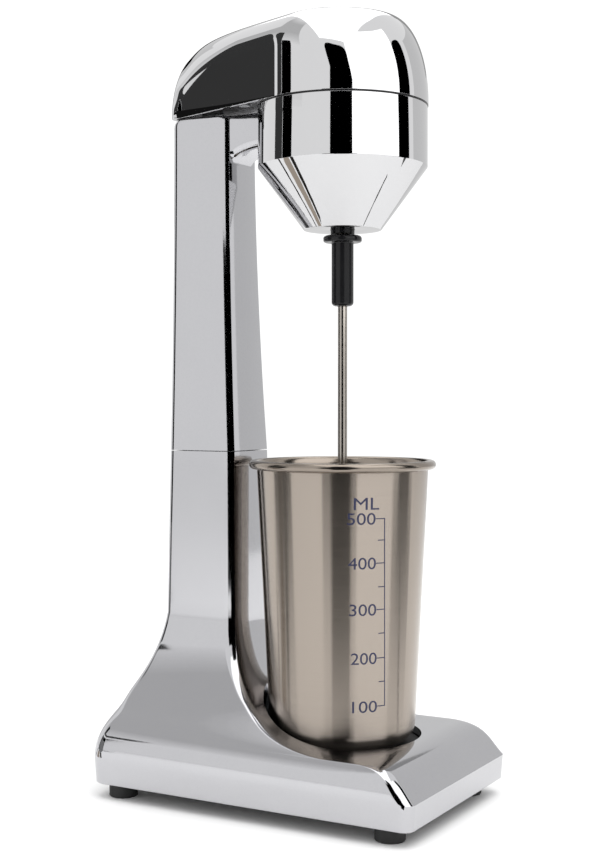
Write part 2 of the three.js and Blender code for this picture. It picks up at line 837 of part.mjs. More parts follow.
// Half of the head's plan outline: where the wall stands, where the top round ends, and its height
function headPlan(wall) {
  const plan = [];
  const turn = Math.PI / 2 + taper;
  const blendFrom = THREE.MathUtils.degToRad(frontBlendDegrees);
  for (let i = 0; i < frontArcSteps; i++) {
    const angle = turn * ((i + frontStartShare) / (frontArcSteps + frontStartShare));
    const blend = THREE.MathUtils.smoothstep(angle, blendFrom, turn);
    const depth = THREE.MathUtils.lerp(frontRoundDepth, sideRoundDepth, blend);
    const way = [Math.sin(angle), -Math.cos(angle)];
    plan.push({
      wall: way.map((part) => part * (coverRadius - wall)),
      top: way.map((part) => part * (coverRadius - depth)),
      round: THREE.MathUtils.lerp(frontRoundHeight, sideRoundHeight, blend),
    });
  }
  const start = [Math.cos(taper), Math.sin(taper)];
  const wallCentre = cornerCentre(coverRadius, coverRear, coverCorner);
  const topCentre = cornerCentre(coverRadius - sideRoundDepth, crestRear, rearRoundCorner);
  const wallFrom = start.map((part) => part * (coverRadius - wall));
  const topFrom = start.map((part) => part * (coverRadius - sideRoundDepth));
  const wallTo = wallCentre.map((part, k) => part + start[k] * (coverCorner - wall));
  const topTo = topCentre.map((part, k) => part + start[k] * rearRoundCorner);
  for (let i = 0; i < sideSteps; i++) {
    const along = i / sideSteps;
    const blend = THREE.MathUtils.smoothstep(along, rearBlendShare, 1);
    plan.push({
      wall: wallFrom.map((part, k) => THREE.MathUtils.lerp(part, wallTo[k], along)),
      top: topFrom.map((part, k) => THREE.MathUtils.lerp(part, topTo[k], along)),
      round: THREE.MathUtils.lerp(sideRoundHeight, rearRoundHeight, blend),
    });
  }
  for (let i = 0; i <= cornerSteps; i++) {
    const angle = THREE.MathUtils.lerp(taper, Math.PI / 2, i / cornerSteps);
    const way = [Math.cos(angle), Math.sin(angle)];
    plan.push({
      wall: wallCentre.map((part, k) => part + way[k] * (coverCorner - wall)),
      top: topCentre.map((part, k) => part + way[k] * rearRoundCorner),
      round: rearRoundHeight,
    });
  }
  return plan;
}

function headBody(wall, bottom) {
  const plan = headPlan(wall);
  const rings = [plan.map(({ wall: [x, y] }) => [x, y, bottom])];
  for (let i = 0; i <= domeSteps; i++) {
    const angle = (Math.PI / 2) * (i / domeSteps);
    rings.push(plan.map(({ wall: side, top, round }) => {
      const x = THREE.MathUtils.lerp(top[0], side[0], Math.cos(angle));
      const y = THREE.MathUtils.lerp(top[1], side[1], Math.cos(angle));
      const crest = coverEdge + crestAt(y);
      return [x, y, crest - round + (round - wall) * Math.sin(angle)];
    }));
  }
  return skin(rings);
}

function topCover() {
  const outer = headBody(0, coverEdge);
  const hollow = headBody(coverWall, coverEdge - overrun);
  const tip = frameTop + coverBossBite;
  const bosses = coverScrewPlaces().map((at) => (
    bar('z', coverBossRadius, frameTop + seatGap, coverEdge + crestHeight, at).intersect(outer)
  ));
  const holes = coverScrewPlaces().map((at) => (
    bar('z', screwRadius + holeGap, coverEdge, tip + seatGap, at)
  ));
  return cut(join(cut(outer, hollow), ...bosses), ...holes);
}

function coverScrewPlaces() {
  const y = housingRadius + coverScrewBehindHousing;
  const x = (coverRadius - Math.sin(taper) * y) / Math.cos(taper) - coverScrewSideInset;
  return [[-x, y], [x, y], [0, hingeY - coverScrewBeforeHinge]];
}

// Motor housing, open at its top, with a spigot that fits inside the cover
function motorHousing() {
  const spigotOuter = coverRadius - coverWall - seamStep;
  const spigotInner = spigotOuter - coverWall;
  const inner = housingRadius - coverWall;
  const coneWall = coverWall * Math.hypot(coneDepth, housingRadius - discRadius) / coneDepth;
  const floorTop = coneBottom + coverWall;
  const coneFloorRadius = discRadius - coneWall + coverWall * (housingRadius - discRadius) / coneDepth;
  const coneInnerTop = coneTop + (coneWall - coverWall) * coneDepth / (housingRadius - discRadius);
  const profile = [
    [sealRadius + holeGap, coneBottom],
    [discRadius, coneBottom],
    [housingRadius, coneTop],
    [housingRadius, housingTop],
    [spigotOuter, housingTop],
    [spigotOuter, frameBottom - seatGap],
    [spigotInner, frameBottom - seatGap],
    [spigotInner, housingTop - spigotLand],
    [inner, housingTop - spigotLand - spigotHeight],
    [inner, coneInnerTop],
    [coneFloorRadius, floorTop],
    [sealRadius + holeGap, floorTop],
    [sealRadius + holeGap, coneBottom],
  ];
  const wholeShell = turned(profile, fineSides);
  const bossTop = frameBottom - seatGap;
  const bosses = housingScrewPlaces().map((at) => (
    bar('z', housingBossRadius, bossTop - housingBossHeight, bossTop, at)
  ));
  const holeBottom = bossTop - housingScrewLength - seatGap;
  const holes = housingScrewPlaces().map((at) => (
    bar('z', smallScrewRadius + holeGap, holeBottom, bossTop + overrun, at)
  ));
  return cut(join(wholeShell, ...bosses), ...holes);
}

function housingScrewPlaces() {
  return housingBossAngles.map((degrees) => {
    const angle = THREE.MathUtils.degToRad(degrees);
    return [housingBossReach * Math.cos(angle), housingBossReach * Math.sin(angle)];
  });
}

function bracketScrewPlaces() {
  const reach = frameHoleRadius + bracketRim / 2;
  return [[-reach, 0], [reach, 0]];
}

// Head frame: a plate in the outline of the cover, with an arm down to the hinge pin
function headFrame() {
  const half = headPlan(coverWall + sideGap).map(({ wall: [x, y] }) => [x, y]);
  const outline = [...half, ...[...half].reverse().map(([x, y]) => [-x, y])];
  const plate = prism(outline, frameBottom, frameTop);
  const arm = block(-lugHalf, lugHalf, hingeY - hingeArmFront, hingeY + hingeArmBack, hingeZ, frameTop);
  const barrel = bar('x', hingeLugRadius, -lugHalf, lugHalf, [hingeY, hingeZ]);
  const pinHole = crossHole(hingePinRadius, lugHalf, [hingeY, hingeZ]);
  const motorHole = hole(frameHoleRadius - holeGap, frameBottom, frameTop, [0, 0], fineSides);
  const smallPlaces = [...housingScrewPlaces(), ...bracketScrewPlaces()];
  const holes = [
    ...coverScrewPlaces().map((at) => hole(screwRadius, frameBottom, frameTop, at)),
    ...smallPlaces.map((at) => hole(smallScrewRadius, frameBottom, frameTop, at)),
  ];
  return cut(join(plate, arm, barrel), pinHole, motorHole, ...holes);
}

// Motor
function postPlaces() {
  return [[-postOffset, 0], [postOffset, 0]];
}

function coilSector(bottom, top, towards) {
  const from = towards - coilHalfDegrees;
  const to = towards + coilHalfDegrees;
  const outside = arcPoints(0, 0, coilOuter, from, to, coilArcSteps);
  const inside = arcPoints(0, 0, coilInner, to, from, coilArcSteps);
  return prism([...outside, ...inside], bottom, top);
}

function coilLegs(towards, room) {
  return [-1, 1].map((side) => {
    const angle = THREE.MathUtils.degToRad(towards + side * (coilHalfDegrees - coilLegInsetDegrees));
    const halfWidth = coilLegWidth / 2 + room;
    const legHeight = statorTop - statorBottom + 2 * coilOverhang;
    const leg = new THREE.BoxGeometry(coilOuter - coilInner + 2 * room, 2 * halfWidth, legHeight);
    leg.translate((coilOuter + coilInner) / 2, 0, 0);
    leg.rotateZ(angle);
    leg.translate(0, 0, (statorBottom + statorTop) / 2);
    return solid(leg);
  });
}

function statorCore() {
  const core = ring(statorBore, statorRadius, statorBottom, statorTop, fineSides);
  const slots = [...coilLegs(90, seatGap), ...coilLegs(-90, seatGap)];
  const holes = postPlaces().map((at) => hole(screwRadius, statorBottom, statorTop, at));
  return cut(core, ...slots, ...holes);
}

function fieldCoil(towards) {
  const below = coilSector(statorBottom - coilOverhang, statorBottom - seatGap, towards);
  const above = coilSector(statorTop + seatGap, statorTop + coilOverhang, towards);
  return join(below, above, ...coilLegs(towards, 0));
}

function upperBracket() {
  const top = bracketBottom + bracketThickness;
  const bossTop = top + bracketBossHeight;
  const disc = ring(shaftRadius + runGap, bracketRadius, bracketBottom, top, fineSides);
  const boss = ring(bearingRadius + seatGap, bracketBossRadius, bracketBottom, bossTop);
  const posts = postPlaces().map((at) => bar('z', postRadius, statorTop + seatGap, top, at));
  const screwHoles = postPlaces().map((at) => hole(screwRadius, statorTop, top, at));
  const rimHoles = bracketScrewPlaces().map((at) => hole(smallScrewRadius, bracketBottom, top, at));
  const bearingSeat = bar('z', bearingRadius + seatGap, top, bossTop + overrun, [0, 0], plainSides);
  return cut(join(disc, boss, ...posts), bearingSeat, ...screwHoles, ...rimHoles);
}

function lowerBracket() {
  const top = lowerBracketTop;
  const bottom = top - bracketThickness;
  const bossBottom = lowerBossBottom;
  const reach = postOffset + postRadius;
  const body = block(-reach, reach, -lowerBarHalfWidth, lowerBarHalfWidth, bottom, top);
  const boss = bar('z', bracketBossRadius, bossBottom, top, [0, 0], plainSides);
  const posts = postPlaces().map((at) => bar('z', postRadius, bottom, statorBottom - seatGap, at));
  const shaftHole = hole(shaftRadius + runGap - holeGap, bossBottom, top);
  const seatTop = top - bearingLip;
  const bearingSeat = bar('z', bearingRadius + seatGap, bossBottom - overrun, seatTop, [0, 0], plainSides);
  const screwHoles = postPlaces().map((at) => hole(screwRadius, bottom, statorBottom, at));
  return cut(join(body, boss, ...posts), shaftHole, bearingSeat, ...screwHoles);
}

function bearing(bottom) {
  return ring(shaftRadius + shaftGap, bearingRadius, bottom, bottom + bearingHeight);
}

function brushHolder(side) {
  const near = commutatorRadius + holderWall + seatGap;
  const far = frameHoleRadius - holderInset;
  const half = brushWidth / 2 + seatGap;
  const outerHalf = half + holderWall;
  const centre = brushCentre;
  const [from, to] = [Math.min(side * near, side * far), Math.max(side * near, side * far)];
  const box = block(-outerHalf, outerHalf, from, to, centre - outerHalf, centre + outerHalf);
  return cut(box, block(-half, half, from - overrun, to + overrun, centre - half, centre + half));
}

function carbonBrush(side) {
  const half = brushWidth / 2;
  const near = commutatorRadius + seatGap;
  const far = frameHoleRadius - holderInset - brushInset;
  const [from, to] = [Math.min(side * near, side * far), Math.max(side * near, side * far)];
  return block(-half, half, from, to, brushCentre - half, brushCentre + half);
}

// Spindle: all that turns with the motor shaft
function armature() {
  const outer = statorBore - runGap;
  const bottom = statorBottom + armatureRecess;
  const top = statorTop - armatureRecess;
  const inner = outer - armatureSlotDepth;
  const slot = armatureSlotShare / 2;
  const tooth = [[slot, outer], [1 - slot, outer], [1 - slot, inner], [1 + slot, inner]];
  const points = [];
  for (let i = 0; i < armatureSlots; i++) {
    for (const [share, radius] of tooth) {
      const angle = 2 * Math.PI * (i + share) / armatureSlots;
      points.push([radius * Math.cos(angle), radius * Math.sin(angle)]);
    }
  }
  const [windingBottom, windingTop] = [bottom - windingHeight, top + windingHeight];
  const core = prism(points, bottom, top);
  const windings = bar('z', statorBore - windingInset, windingBottom, windingTop, [0, 0], plainSides);
  return cut(join(core, windings), hole(shaftRadius, windingBottom, windingTop));
}

function commutator() {
  const bottom = statorTop - armatureRecess + windingHeight + seatGap;
  return ring(shaftRadius + shaftGap, commutatorRadius, bottom, bottom + commutatorHeight);
}

const lowerBearingBottom = lowerBracketTop - bearingLip - seatGap - bearingHeight;
const upperBearingBottom = bracketBottom + bracketThickness + seatGap;
const splashTop = sealBottom - seatGap - seatGap;
const splashBottom = splashTop - splashThickness;
const sleeveBottom = splashBottom - sleeveLength;
const rodTop = sleeveBottom + rodInsertion;
const shaftBottom = splashTop - shaftInsertion;

function motorShaft() {
  return bar('z', shaftRadius, shaftBottom, upperBearingBottom + bearingHeight + seatGap);
}

function coolingFan() {
  const bottom = fanBottom;
  const disc = bar('z', fanRadius, fanTop - fanDisc, fanTop, [0, 0], plainSides);
  const hub = bar('z', fanHubRadius, bottom, fanTop, [0, 0], smallSides);
  const blades = [];
  for (let i = 0; i < fanBlades; i++) {
    const blade = new THREE.BoxGeometry(fanRadius - fanHubRadius, fanBladeThickness, fanHeight);
    blade.rotateZ(THREE.MathUtils.degToRad(fanBladeDegrees));
    blade.translate((fanRadius + fanHubRadius) / 2 - fanBladeThickness, 0, (bottom + fanTop) / 2);
    blade.rotateZ(2 * Math.PI * i / fanBlades);
    blades.push(solid(blade));
  }
  return cut(join(disc, hub, ...blades), hole(shaftRadius, bottom, fanTop));
}

function shaftSeal() {
  const flangeBottom = sealFlangeBottom;
  const flangeTop = flangeBottom + sealFlangeThickness;
  const bore = shaftRadius + runGap;
  const profile = [
    [bore, sealBottom],
    [sealRadius, sealBottom],
    [sealRadius, flangeBottom],
    [sealFlange, flangeBottom],
    [sealFlange, flangeTop],
    [bore, flangeTop],
    [bore, sealBottom],
  ];
  return turned(profile);
}

// Black drive sleeve with its splash flange; the shaft enters from above and the rod from below
function driveSleeve() {
  const rodBore = rodRadius + holeGap;
  const shaftBore = shaftRadius + holeGap;
  const step = rodTop + holeGap;
  const outside = [
    [rodBore, sleeveBottom],
    ...arcPoints(sleeveRadius - sleeveRound, sleeveBottom + sleeveRound, sleeveRound, -90, 0, cornerSteps),
    [sleeveRadius, splashBottom],
    ...arcPoints(splashRadius - splashRound, splashBottom + splashRound, splashRound, -90, 0, cornerSteps),
    ...arcPoints(splashRadius - splashRound, splashTop - splashRound, splashRound, 0, 90, cornerSteps),
  ];
  const inside = [
    [shaftBore, splashTop],
    [shaftBore, step],
    [rodBore, step],
    [rodBore, sleeveBottom],
  ];
  return turned([...outside, ...inside]);
}

const agitatorBottom = cupBottom + cupWall + agitatorLift;

function mixingRod() {
  return bar('z', rodRadius, agitatorBottom, rodTop, [0, 0], smallSides);
}

// A thin wavy disc on a hub, at the foot of the rod
function agitator() {
  const points = [];
  const count = agitatorWaves * wavePoints;
  for (let i = 0; i < count; i++) {
    const angle = 2 * Math.PI * i / count;
    const radius = agitatorRadius * (1 - agitatorWaveShare * (1 - Math.cos(agitatorWaves * angle)) / 2);
    points.push([radius * Math.cos(angle), radius * Math.sin(angle)]);
  }
  const hubBottom = agitatorBottom - agitatorThickness;
  const hubTop = agitatorBottom + agitatorHubHeight;
  const disc = prism(points, agitatorBottom, agitatorBottom + agitatorThickness);
  const hub = bar('z', agitatorHubRadius, hubBottom, hubTop);
  const rodRoom = bar('z', rodRadius + holeGap, agitatorBottom - seatGap, hubTop + overrun);
  return cut(join(disc, hub), rodRoom);
}

// Cup: a tapered steel beaker with a rounded floor edge and a rolled rim
function cup() {
  const height = rimHeight - cupBottom;
  const slope = (cupTopRadius - cupFloorRadius) / height;
  const beadStart = rimHeight - rimBead;
  const floorEdge = cupFloorRadius + slope * cupFillet;
  const innerFillet = cupFillet - cupWall;
  const beadCentre = cupRimRadius - rimBead;
  const outside = [
    [0, cupBottom],
    ...arcPoints(floorEdge - cupFillet, cupBottom + cupFillet, cupFillet, -90, 0, cupFilletSteps),
    [cupFloorRadius + slope * (beadStart - cupBottom), beadStart],
    ...arcPoints(beadCentre, rimHeight, rimBead, rimStartDegrees, rimEndDegrees, rimSteps),
  ];
  const inside = [
    [cupFloorRadius + slope * (beadStart - cupBottom) - cupWall, beadStart],
    ...arcPoints(floorEdge - cupFillet, cupBottom + cupFillet, innerFillet, 0, -90, cupFilletSteps),
    [0, cupBottom + cupWall],
  ];
  return turned([...outside, ...inside], fineSides);
}

// Rocker switch at the back of the column
const bezelFront = columnRear + seatGap;
const bezelBack = bezelFront + bezelThickness;
const switchHalf = spineInner - switchSideRoom;
const bezelWidth = 2 * (switchHalf + bezelWall);
const switchRise = bezelHeight / 2 - bezelWall;
const rockerRoomHalf = switchHalf - rockerPinLength - rockerGap;
const rockerHalf = rockerRoomHalf - rockerGap;
const rockerRoomRise = switchRise - bladeThickness;
const rockerRise = rockerRoomRise - rockerStroke;
const rockerPivotY = bezelBack + rockerProud - rockerDepth;

function switchHousing() {
  const [bottom, top] = [switchZ - bezelHeight / 2, switchZ + bezelHeight / 2];
  const bezel = block(-bezelWidth / 2, bezelWidth / 2, bezelFront, bezelBack, bottom, top);
  const inside = bezelBack - switchDepth;
  const [low, high] = [switchZ - switchRise, switchZ + switchRise];
  const body = block(-switchHalf, switchHalf, inside, bezelFront, low, high);
  const roomFront = rockerPivotY - rockerPinRadius - rockerStroke;
  const [floor, ceiling] = [switchZ - rockerRoomRise, switchZ + rockerRoomRise];
  const room = block(-rockerRoomHalf, rockerRoomHalf, roomFront, bezelBack + overrun, floor, ceiling);
  const pinHole = crossHole(rockerPinRadius, switchHalf, [rockerPivotY, switchZ]);
  const halfBlade = bladeThickness / 2;
  const [bladeLow, bladeHigh] = [switchZ - bladeHeight / 2, switchZ + bladeHeight / 2];
  const blades = [-1, 0, 1].map((at) => {
    const x = at * switchHalf / 2;
    const tip = inside - bladeLength;
    return block(x - halfBlade, x + halfBlade, tip, inside + halfBlade, bladeLow, bladeHigh);
  });
  return cut(join(bezel, body, ...blades), room, pinHole);
}

// The rocker is modelled in its off position, tipped one way about its pin
function rocker() {
  const points = [
    [-rockerPinRadius, 0],
    [0, -rockerRise / 2],
    [rockerDepth / 2, -rockerRise],
    [rockerDepth, -rockerRise],
    [rockerDepth - rockerDish, 0],
    [rockerDepth, rockerRise],
    [rockerDepth / 2, rockerRise],
    [0, rockerRise / 2],
  ];
  const reach = rockerHalf + rockerGap + rockerPinLength;
  const body = join(sidePlate(points, -rockerHalf, rockerHalf), bar('x', rockerPinRadius, -reach, reach));
  return body.rotate([rockerTiltDegrees, 0, 0]).translate([0, rockerPivotY, switchZ]);
}

const terminalFront = spineRear + runGap;
const terminalTop = plateTop + seatGap + terminalHeight;

function terminalBlock() {
  const half = terminalWidth / 2;
  return block(-half, half, terminalFront, terminalFront + terminalDepth, plateTop + seatGap, terminalTop);
}

// The lead from the terminal block up inside the spine to the switch blades
function switchLead() {
  const blades = bezelBack - switchDepth - bladeLength / 2;
  const end = switchZ - bladeHeight / 2 - seatGap;
  const start = terminalFront + terminalDepth / 2;
  const middle = (spineFront + spineRear) / 2;
  const path = new THREE.CatmullRomCurve3([
    new THREE.Vector3(0, start, terminalTop + seatGap),
    new THREE.Vector3(0, start, terminalTop + terminalHeight),
    new THREE.Vector3(0, middle, flareTop),
    new THREE.Vector3(0, middle, seamHeight),
    new THREE.Vector3(0, blades, end - terminalHeight),
    new THREE.Vector3(0, blades, end),
  ]);
  const round = new THREE.EllipseCurve(0, 0, leadRadius, leadRadius).getPoints(leadSides);
  const section = new THREE.Shape(round.slice(0, -1));
  const settings = { steps: leadSteps, extrudePath: path, bevelEnabled: false };
  return solid(new THREE.ExtrudeGeometry(section, settings));
}

// Materials
function finish(color, roughness, metalness) {
  return () => new THREE.MeshStandardMaterial({ color, roughness, metalness });
}
const mirrorChrome = finish(0xd6d7da, 0.06, 1);
const satinChrome = finish(0xc4c5c9, 0.2, 1);
const brushedSteel = finish(0xa89f96, 0.34, 1);
const polishedSteel = finish(0xb9b4ae, 0.18, 1);
const blackGloss = finish(0x0c0c0e, 0.15, 0);
const blackPlastic = finish(0x18181a, 0.5, 0);
const blackRubber = finish(0x111112, 0.8, 0);
const zincSteel = finish(0x9c9fa3, 0.4, 1);
const castAlloy = finish(0xa6a8aa, 0.5, 1);
const copper = finish(0xb06a3a, 0.35, 1);
const laminated = finish(0x6d7175, 0.55, 1);
const sinteredBronze = finish(0x9a7b45, 0.5, 1);
const carbon = finish(0x222224, 0.7, 0);
const moulded = finish(0xd8d4c8, 0.55, 0);

const mixer = new THREE.Group();
mixer.position.y = spindleY;

function place(name, body, material) {
  const mesh = new THREE.Mesh(geometryOf(body), material());
  mesh.name = name;
  mixer.add(mesh);
}

function placeBase() {
  place('base_shell', baseShell(), satinChrome);
  place('bottom_plate', bottomPlate(), blackPlastic);
  place('cup_pad', cupPad(), blackRubber);
  place('cord_gland', cordGland(), blackPlastic);
  place('terminal_block', terminalBlock(), moulded);
  place('switch_lead', switchLead(), blackRubber);
  const names = ['front_left', 'front_right', 'rear_left', 'rear_right'];
  const headSeat = footChamfer + screwHeadHeight + seatGap;
  footPlaces().forEach((at, i) => {
    place(`foot_${names[i]}`, foot(at), blackRubber);
    place(`foot_screw_${names[i]}`, screwUp(at, headSeat, footScrewTip), zincSteel);
  });
}

function placeColumn() {
  place('column_cover', columnCover(), satinChrome);
  place('column_spine', columnSpine(), zincSteel);
  place('hinge_pin', hingePin(), polishedSteel);
  const spineBottom = plateTop + seatGap;
  ['left', 'right'].forEach((name, i) => {
    const tip = columnTop + seatGap - columnScrewLength;
    place(`column_screw_${name}`, screwDown(columnScrewPlaces()[i], columnTop + seatGap, tip), zincSteel);
    const spineTip = spineBottom + spineFootThickness + screwHeadHeight;
    const spineScrew = screwUp(spineScrewPlaces()[i], plateBottom - seatGap, spineTip);
    place(`spine_screw_${name}`, spineScrew, zincSteel);
    place(`pin_clip_${name}`, pinClip(i === 0 ? -1 : 1), polishedSteel);
  });
  place('switch_housing', switchHousing(), blackPlastic);
  place('switch_rocker', rocker(), blackGloss);
}

function placeHead() {
  place('top_cover', topCover(), mirrorChrome);
  place('motor_housing', motorHousing(), mirrorChrome);
  place('head_frame', headFrame(), castAlloy);
  place('shaft_seal', shaftSeal(), blackGloss);
  const coverNames = ['left', 'right', 'rear'];
  coverScrewPlaces().forEach((at, i) => {
    const screw = screwUp(at, frameBottom - seatGap, frameTop + coverBossBite);
    place(`cover_screw_${coverNames[i]}`, screw, zincSteel);
  });
  const housingNames = ['rear', 'left', 'right'];
  housingScrewPlaces().forEach((at, i) => {
    const tip = frameBottom - seatGap - housingScrewLength;
    const screw = screwDown(at, frameTop + seatGap, tip, smallScrewRadius, smallHeadRadius);
    place(`housing_screw_${housingNames[i]}`, screw, zincSteel);
  });
}

function placeMotor() {
  place('stator_core', statorCore(), laminated);
  place('field_coil_front', fieldCoil(-90), copper);
  place('field_coil_rear', fieldCoil(90), copper);
  place('motor_bracket_upper', upperBracket(), castAlloy);
  place('motor_bracket_lower', lowerBracket(), castAlloy);
  place('bearing_upper', bearing(upperBearingBottom), sinteredBronze);
  place('bearing_lower', bearing(lowerBearingBottom), sinteredBronze);
  const top = bracketBottom + bracketThickness;
  ['left', 'right'].forEach((name, i) => {
    const motorTip = lowerBracketTop - bracketThickness + seatGap;
    place(`motor_screw_${name}`, screwDown(postPlaces()[i], top + seatGap, motorTip), zincSteel);
    const bracketTip = frameBottom + seatGap;
    const at = bracketScrewPlaces()[i];
    const screw = screwDown(at, top + seatGap, bracketTip, smallScrewRadius, smallHeadRadius);
    place(`bracket_screw_${name}`, screw, zincSteel);
  });
  [['front', -1], ['rear', 1]].forEach(([name, side]) => {
    place(`brush_holder_${name}`, brushHolder(side), moulded);
    place(`carbon_brush_${name}`, carbonBrush(side), carbon);
  });
}

function placeSpindle() {
  place('motor_shaft', motorShaft(), polishedSteel);
  place('armature', armature(), laminated);
  place('commutator', commutator(), copper);
  place('cooling_fan', coolingFan(), moulded);
  place('drive_sleeve', driveSleeve(), blackGloss);
  place('mixing_rod', mixingRod(), polishedSteel);
  place('agitator', agitator(), polishedSteel);
}

placeBase();
placeColumn();
placeHead();
placeMotor();
placeSpindle();
place('cup', cup(), brushedSteel);

export default mixer;
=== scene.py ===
# Looks of the milkshake mixer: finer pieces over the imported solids, their finishes, the studio and
# the camera. Shapes are worked out in millimetres about the spindle axis, with the front at minus
# y, and settle() takes each finished mesh to metres in the shared frame.
import json
import math

import bmesh
import bpy
from mathutils import Matrix, Vector
from mathutils.geometry import interpolate_bezier


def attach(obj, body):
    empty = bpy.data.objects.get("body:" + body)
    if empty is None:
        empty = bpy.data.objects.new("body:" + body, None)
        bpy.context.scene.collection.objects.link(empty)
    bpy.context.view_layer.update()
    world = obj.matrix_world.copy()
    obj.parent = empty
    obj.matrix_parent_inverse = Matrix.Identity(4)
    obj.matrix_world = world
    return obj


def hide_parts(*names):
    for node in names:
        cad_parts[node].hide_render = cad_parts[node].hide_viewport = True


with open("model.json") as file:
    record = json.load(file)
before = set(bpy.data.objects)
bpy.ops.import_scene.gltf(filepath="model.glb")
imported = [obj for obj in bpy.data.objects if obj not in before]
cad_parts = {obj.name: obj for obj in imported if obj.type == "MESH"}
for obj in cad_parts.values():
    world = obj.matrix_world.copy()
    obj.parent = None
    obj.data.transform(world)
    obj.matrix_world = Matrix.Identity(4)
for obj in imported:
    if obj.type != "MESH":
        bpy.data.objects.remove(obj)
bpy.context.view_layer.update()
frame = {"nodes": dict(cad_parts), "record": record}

MM = 0.001
SPINDLE_Y = -24.6
TO_FRAME = Matrix.Scale(MM, 4) @ Matrix.Translation((0, SPINDLE_Y, 0))
SAME_PLACE = 0.0005
CUT_OVER = 2

# Sides of turned pieces and cutters
LARGE_SIDES = 192
CUT_SIDES = 160
SLEEVE_SIDES = 96
FOOT_SIDES = 64
ROD_SIDES = 48
SCREW_SIDES = 32

# Base
BASE_HALF = 56.1
FRONT = -62.8
REAR = 112
FOOT_TOP = 7.5
BAND_TUCK = 0.9
BAND_EDGE = 0.6
BAND_EDGE_STEPS = 4
BAND_SHARES = (0.35, 0.7, 1)
CREASE = 19.4
DECK = 34
DECK_FRONT = -38.9
DECK_BACK = -22
NOSE_HANDLES = [(0.66, 1), (0.7, 0.43)]
NOSE_STEPS = 20
SCOOP_HANDLES = [(1, 0.241), (0.394, 0.02)]
SCOOP_STEPS = 56
FLARE_TOP = 88
FLARE_STEPS = 40
SIDE_FLARE = [(0, 1), (0.027, 0.676), (0.42, 0.445), (0.6, 0.36), (0.8, 0.265), (1, 0.22), (1, 0)]
REAR_FLARE = [(0, 1), (0.267, 0.559), (0.54, 0.521), (0.613, 0.385), (0.657, 0.3), (1, 0.181), (1, 0)]
FRONT_CORNER = 6
REAR_CORNER = 9.6
REAR_CORNER_STEPS = 8
LEAST_CORNER = 0.6
WALL = 2.5
POCKET_RADIUS = 38.25
POCKET_FLOOR = 28.5
POCKET_CUT_TOP = 90
GLAND_Z = 25
GLAND_HOLE_RADIUS = 7.1
GLAND_CUT_DEPTH = 10

# The front corner of the column is nearly flat, and turns round as the base spreads
TURN_STEPS = 14
FLAT_KNOTS = (0, 0.12, 0.88, 1)
FLAT_FACINGS = (-90, -36, -18, 0)
FLAT_WIDE = 0.8
FLAT_DEEP = 1.7
ROUND_GAIN = 5

# Column with its neck
SEAM = 169.3
SEAM_GAP = 0.4
FOOT_LEVELS = 12
COLUMN_TOP = 334.9
COLUMN_LEVELS = 32
COLUMN_BEND = 1.8
COLUMN_CORNER = 3.2
COLUMN_REAR = 89.4
REAR_TURN = 3.2
REAR_TURN_STEPS = 8
ROOM_LEVELS = 12
FOOT_HALF = 19.2
SEAM_HALF = 17.9
TOP_HALF = 14.4
FRONT_AT_FOOT = 50.4
FRONT_AT_SEAM = 51.7
FRONT_AT_TOP = 57
REAR_AT_FOOT = 90.8
NECK_BOTTOM = 311.5
NECK_RISE = 7
NECK_FRONT = 37.6
NECK_HALF = 11.2
NECK_ROUND = 4.5
NECK_ROUND_STEPS = 10
NECK_STEPS = 20
NECK_SPREAD = 6
NECK_TUCK = 2.4
NECK_STOP = 0.05
NECK_INSIDE = 3
HOUSING_ROOM_GAP = 1.2
HOUSING_ROOM_LOW = 300
HOUSING_ROOM_HIGH = 340
TOP_CUT_LOW = 330
TOP_CUT_HIGH = 337
LUG_SLOT = ((-8, 75.2, TOP_CUT_LOW), (8, 86.9, TOP_CUT_HIGH))
SWITCH_WINDOW = ((-6.7, 84.9, 251.9), (6.7, 91.4, 271.9))
SCREW_HOLE_RADIUS = 1.8
SCREW_HOLE_X = 5.5
SCREW_HOLE_Y = 66.2

# Head cover; each round of its top says how far in and how far down it reaches
COVER_RADIUS = 41.2
TAPER = math.radians(17.2)
COVER_REAR = 90.1
COVER_CORNER = 4.5
COVER_CORNER_STEPS = 12
COVER_TOP_CORNER = 1.5
COVER_EDGE = 335.6
COVER_EDGE_ROUND = 0.08
COVER_EDGE_STEPS = 3
COVER_WALL = 2.2
FRONT_ROUND = (17.8, 40)
SIDE_ROUND = (15, 17)
REAR_ROUND = (8, 27.5)
SIDE_ROUND_FROM = math.radians(40)
REAR_ROUND_FROM = 0.4
FRONT_STEPS = 56
FIRST_STEP = 0.4
ARM_STEPS = 72
WALL_ROWS = 22
ROUND_ROWS = 26
CROWN_SHARES = (0.66, 0.33, 0)
CREST = 41.2
CREST_REAR = 33.3
CREST_HANDLES = [(0.8, 0.8), (0.874, 0.97)]
CREST_STEPS = 80
PANEL_FRONT = 0.5
PANEL_REAR = 76
PANEL_CORNER = 7
PANEL_ROOF_SHARE = 0.62
PANEL_DEPTH = 0.4
PANEL_SOFT = 4
CHAMFER_RISE = 3.3
CHAMFER_LENGTH = 70
CHAMFER_SLOPE = 0.3

# Motor housing, gasket and seal
HOUSING_RADIUS = 40.8
HOUSING_TOP = 334.9
HOUSING_BORE = 6.1
HOUSING_FLOOR = 2.2
HOUSING_INNER = 38.2
LIP_TOP = 338.7
LIP_INNER = 36
LIP_DEPTH = 5
LIP_ROOT = 9
CONE_TOP = 306.4
CONE_BOTTOM = 276.5
CONE_INNER = 17
DISC_RADIUS = 18.7
GASKET_INNER = 38.4
GASKET_OUTER = 41
GASKET_LOW = 334.92
GASKET_HIGH = 335.58
GASKET_BEVEL = (40.85, 335.05)
SEAL_BORE = 3.6
SEAL_RADIUS = 5.8
SEAL_FLANGE_RADIUS = 8.5
SEAL_LOW = 274.4
SEAL_FLANGE_LOW = 279
SEAL_HIGH = 281

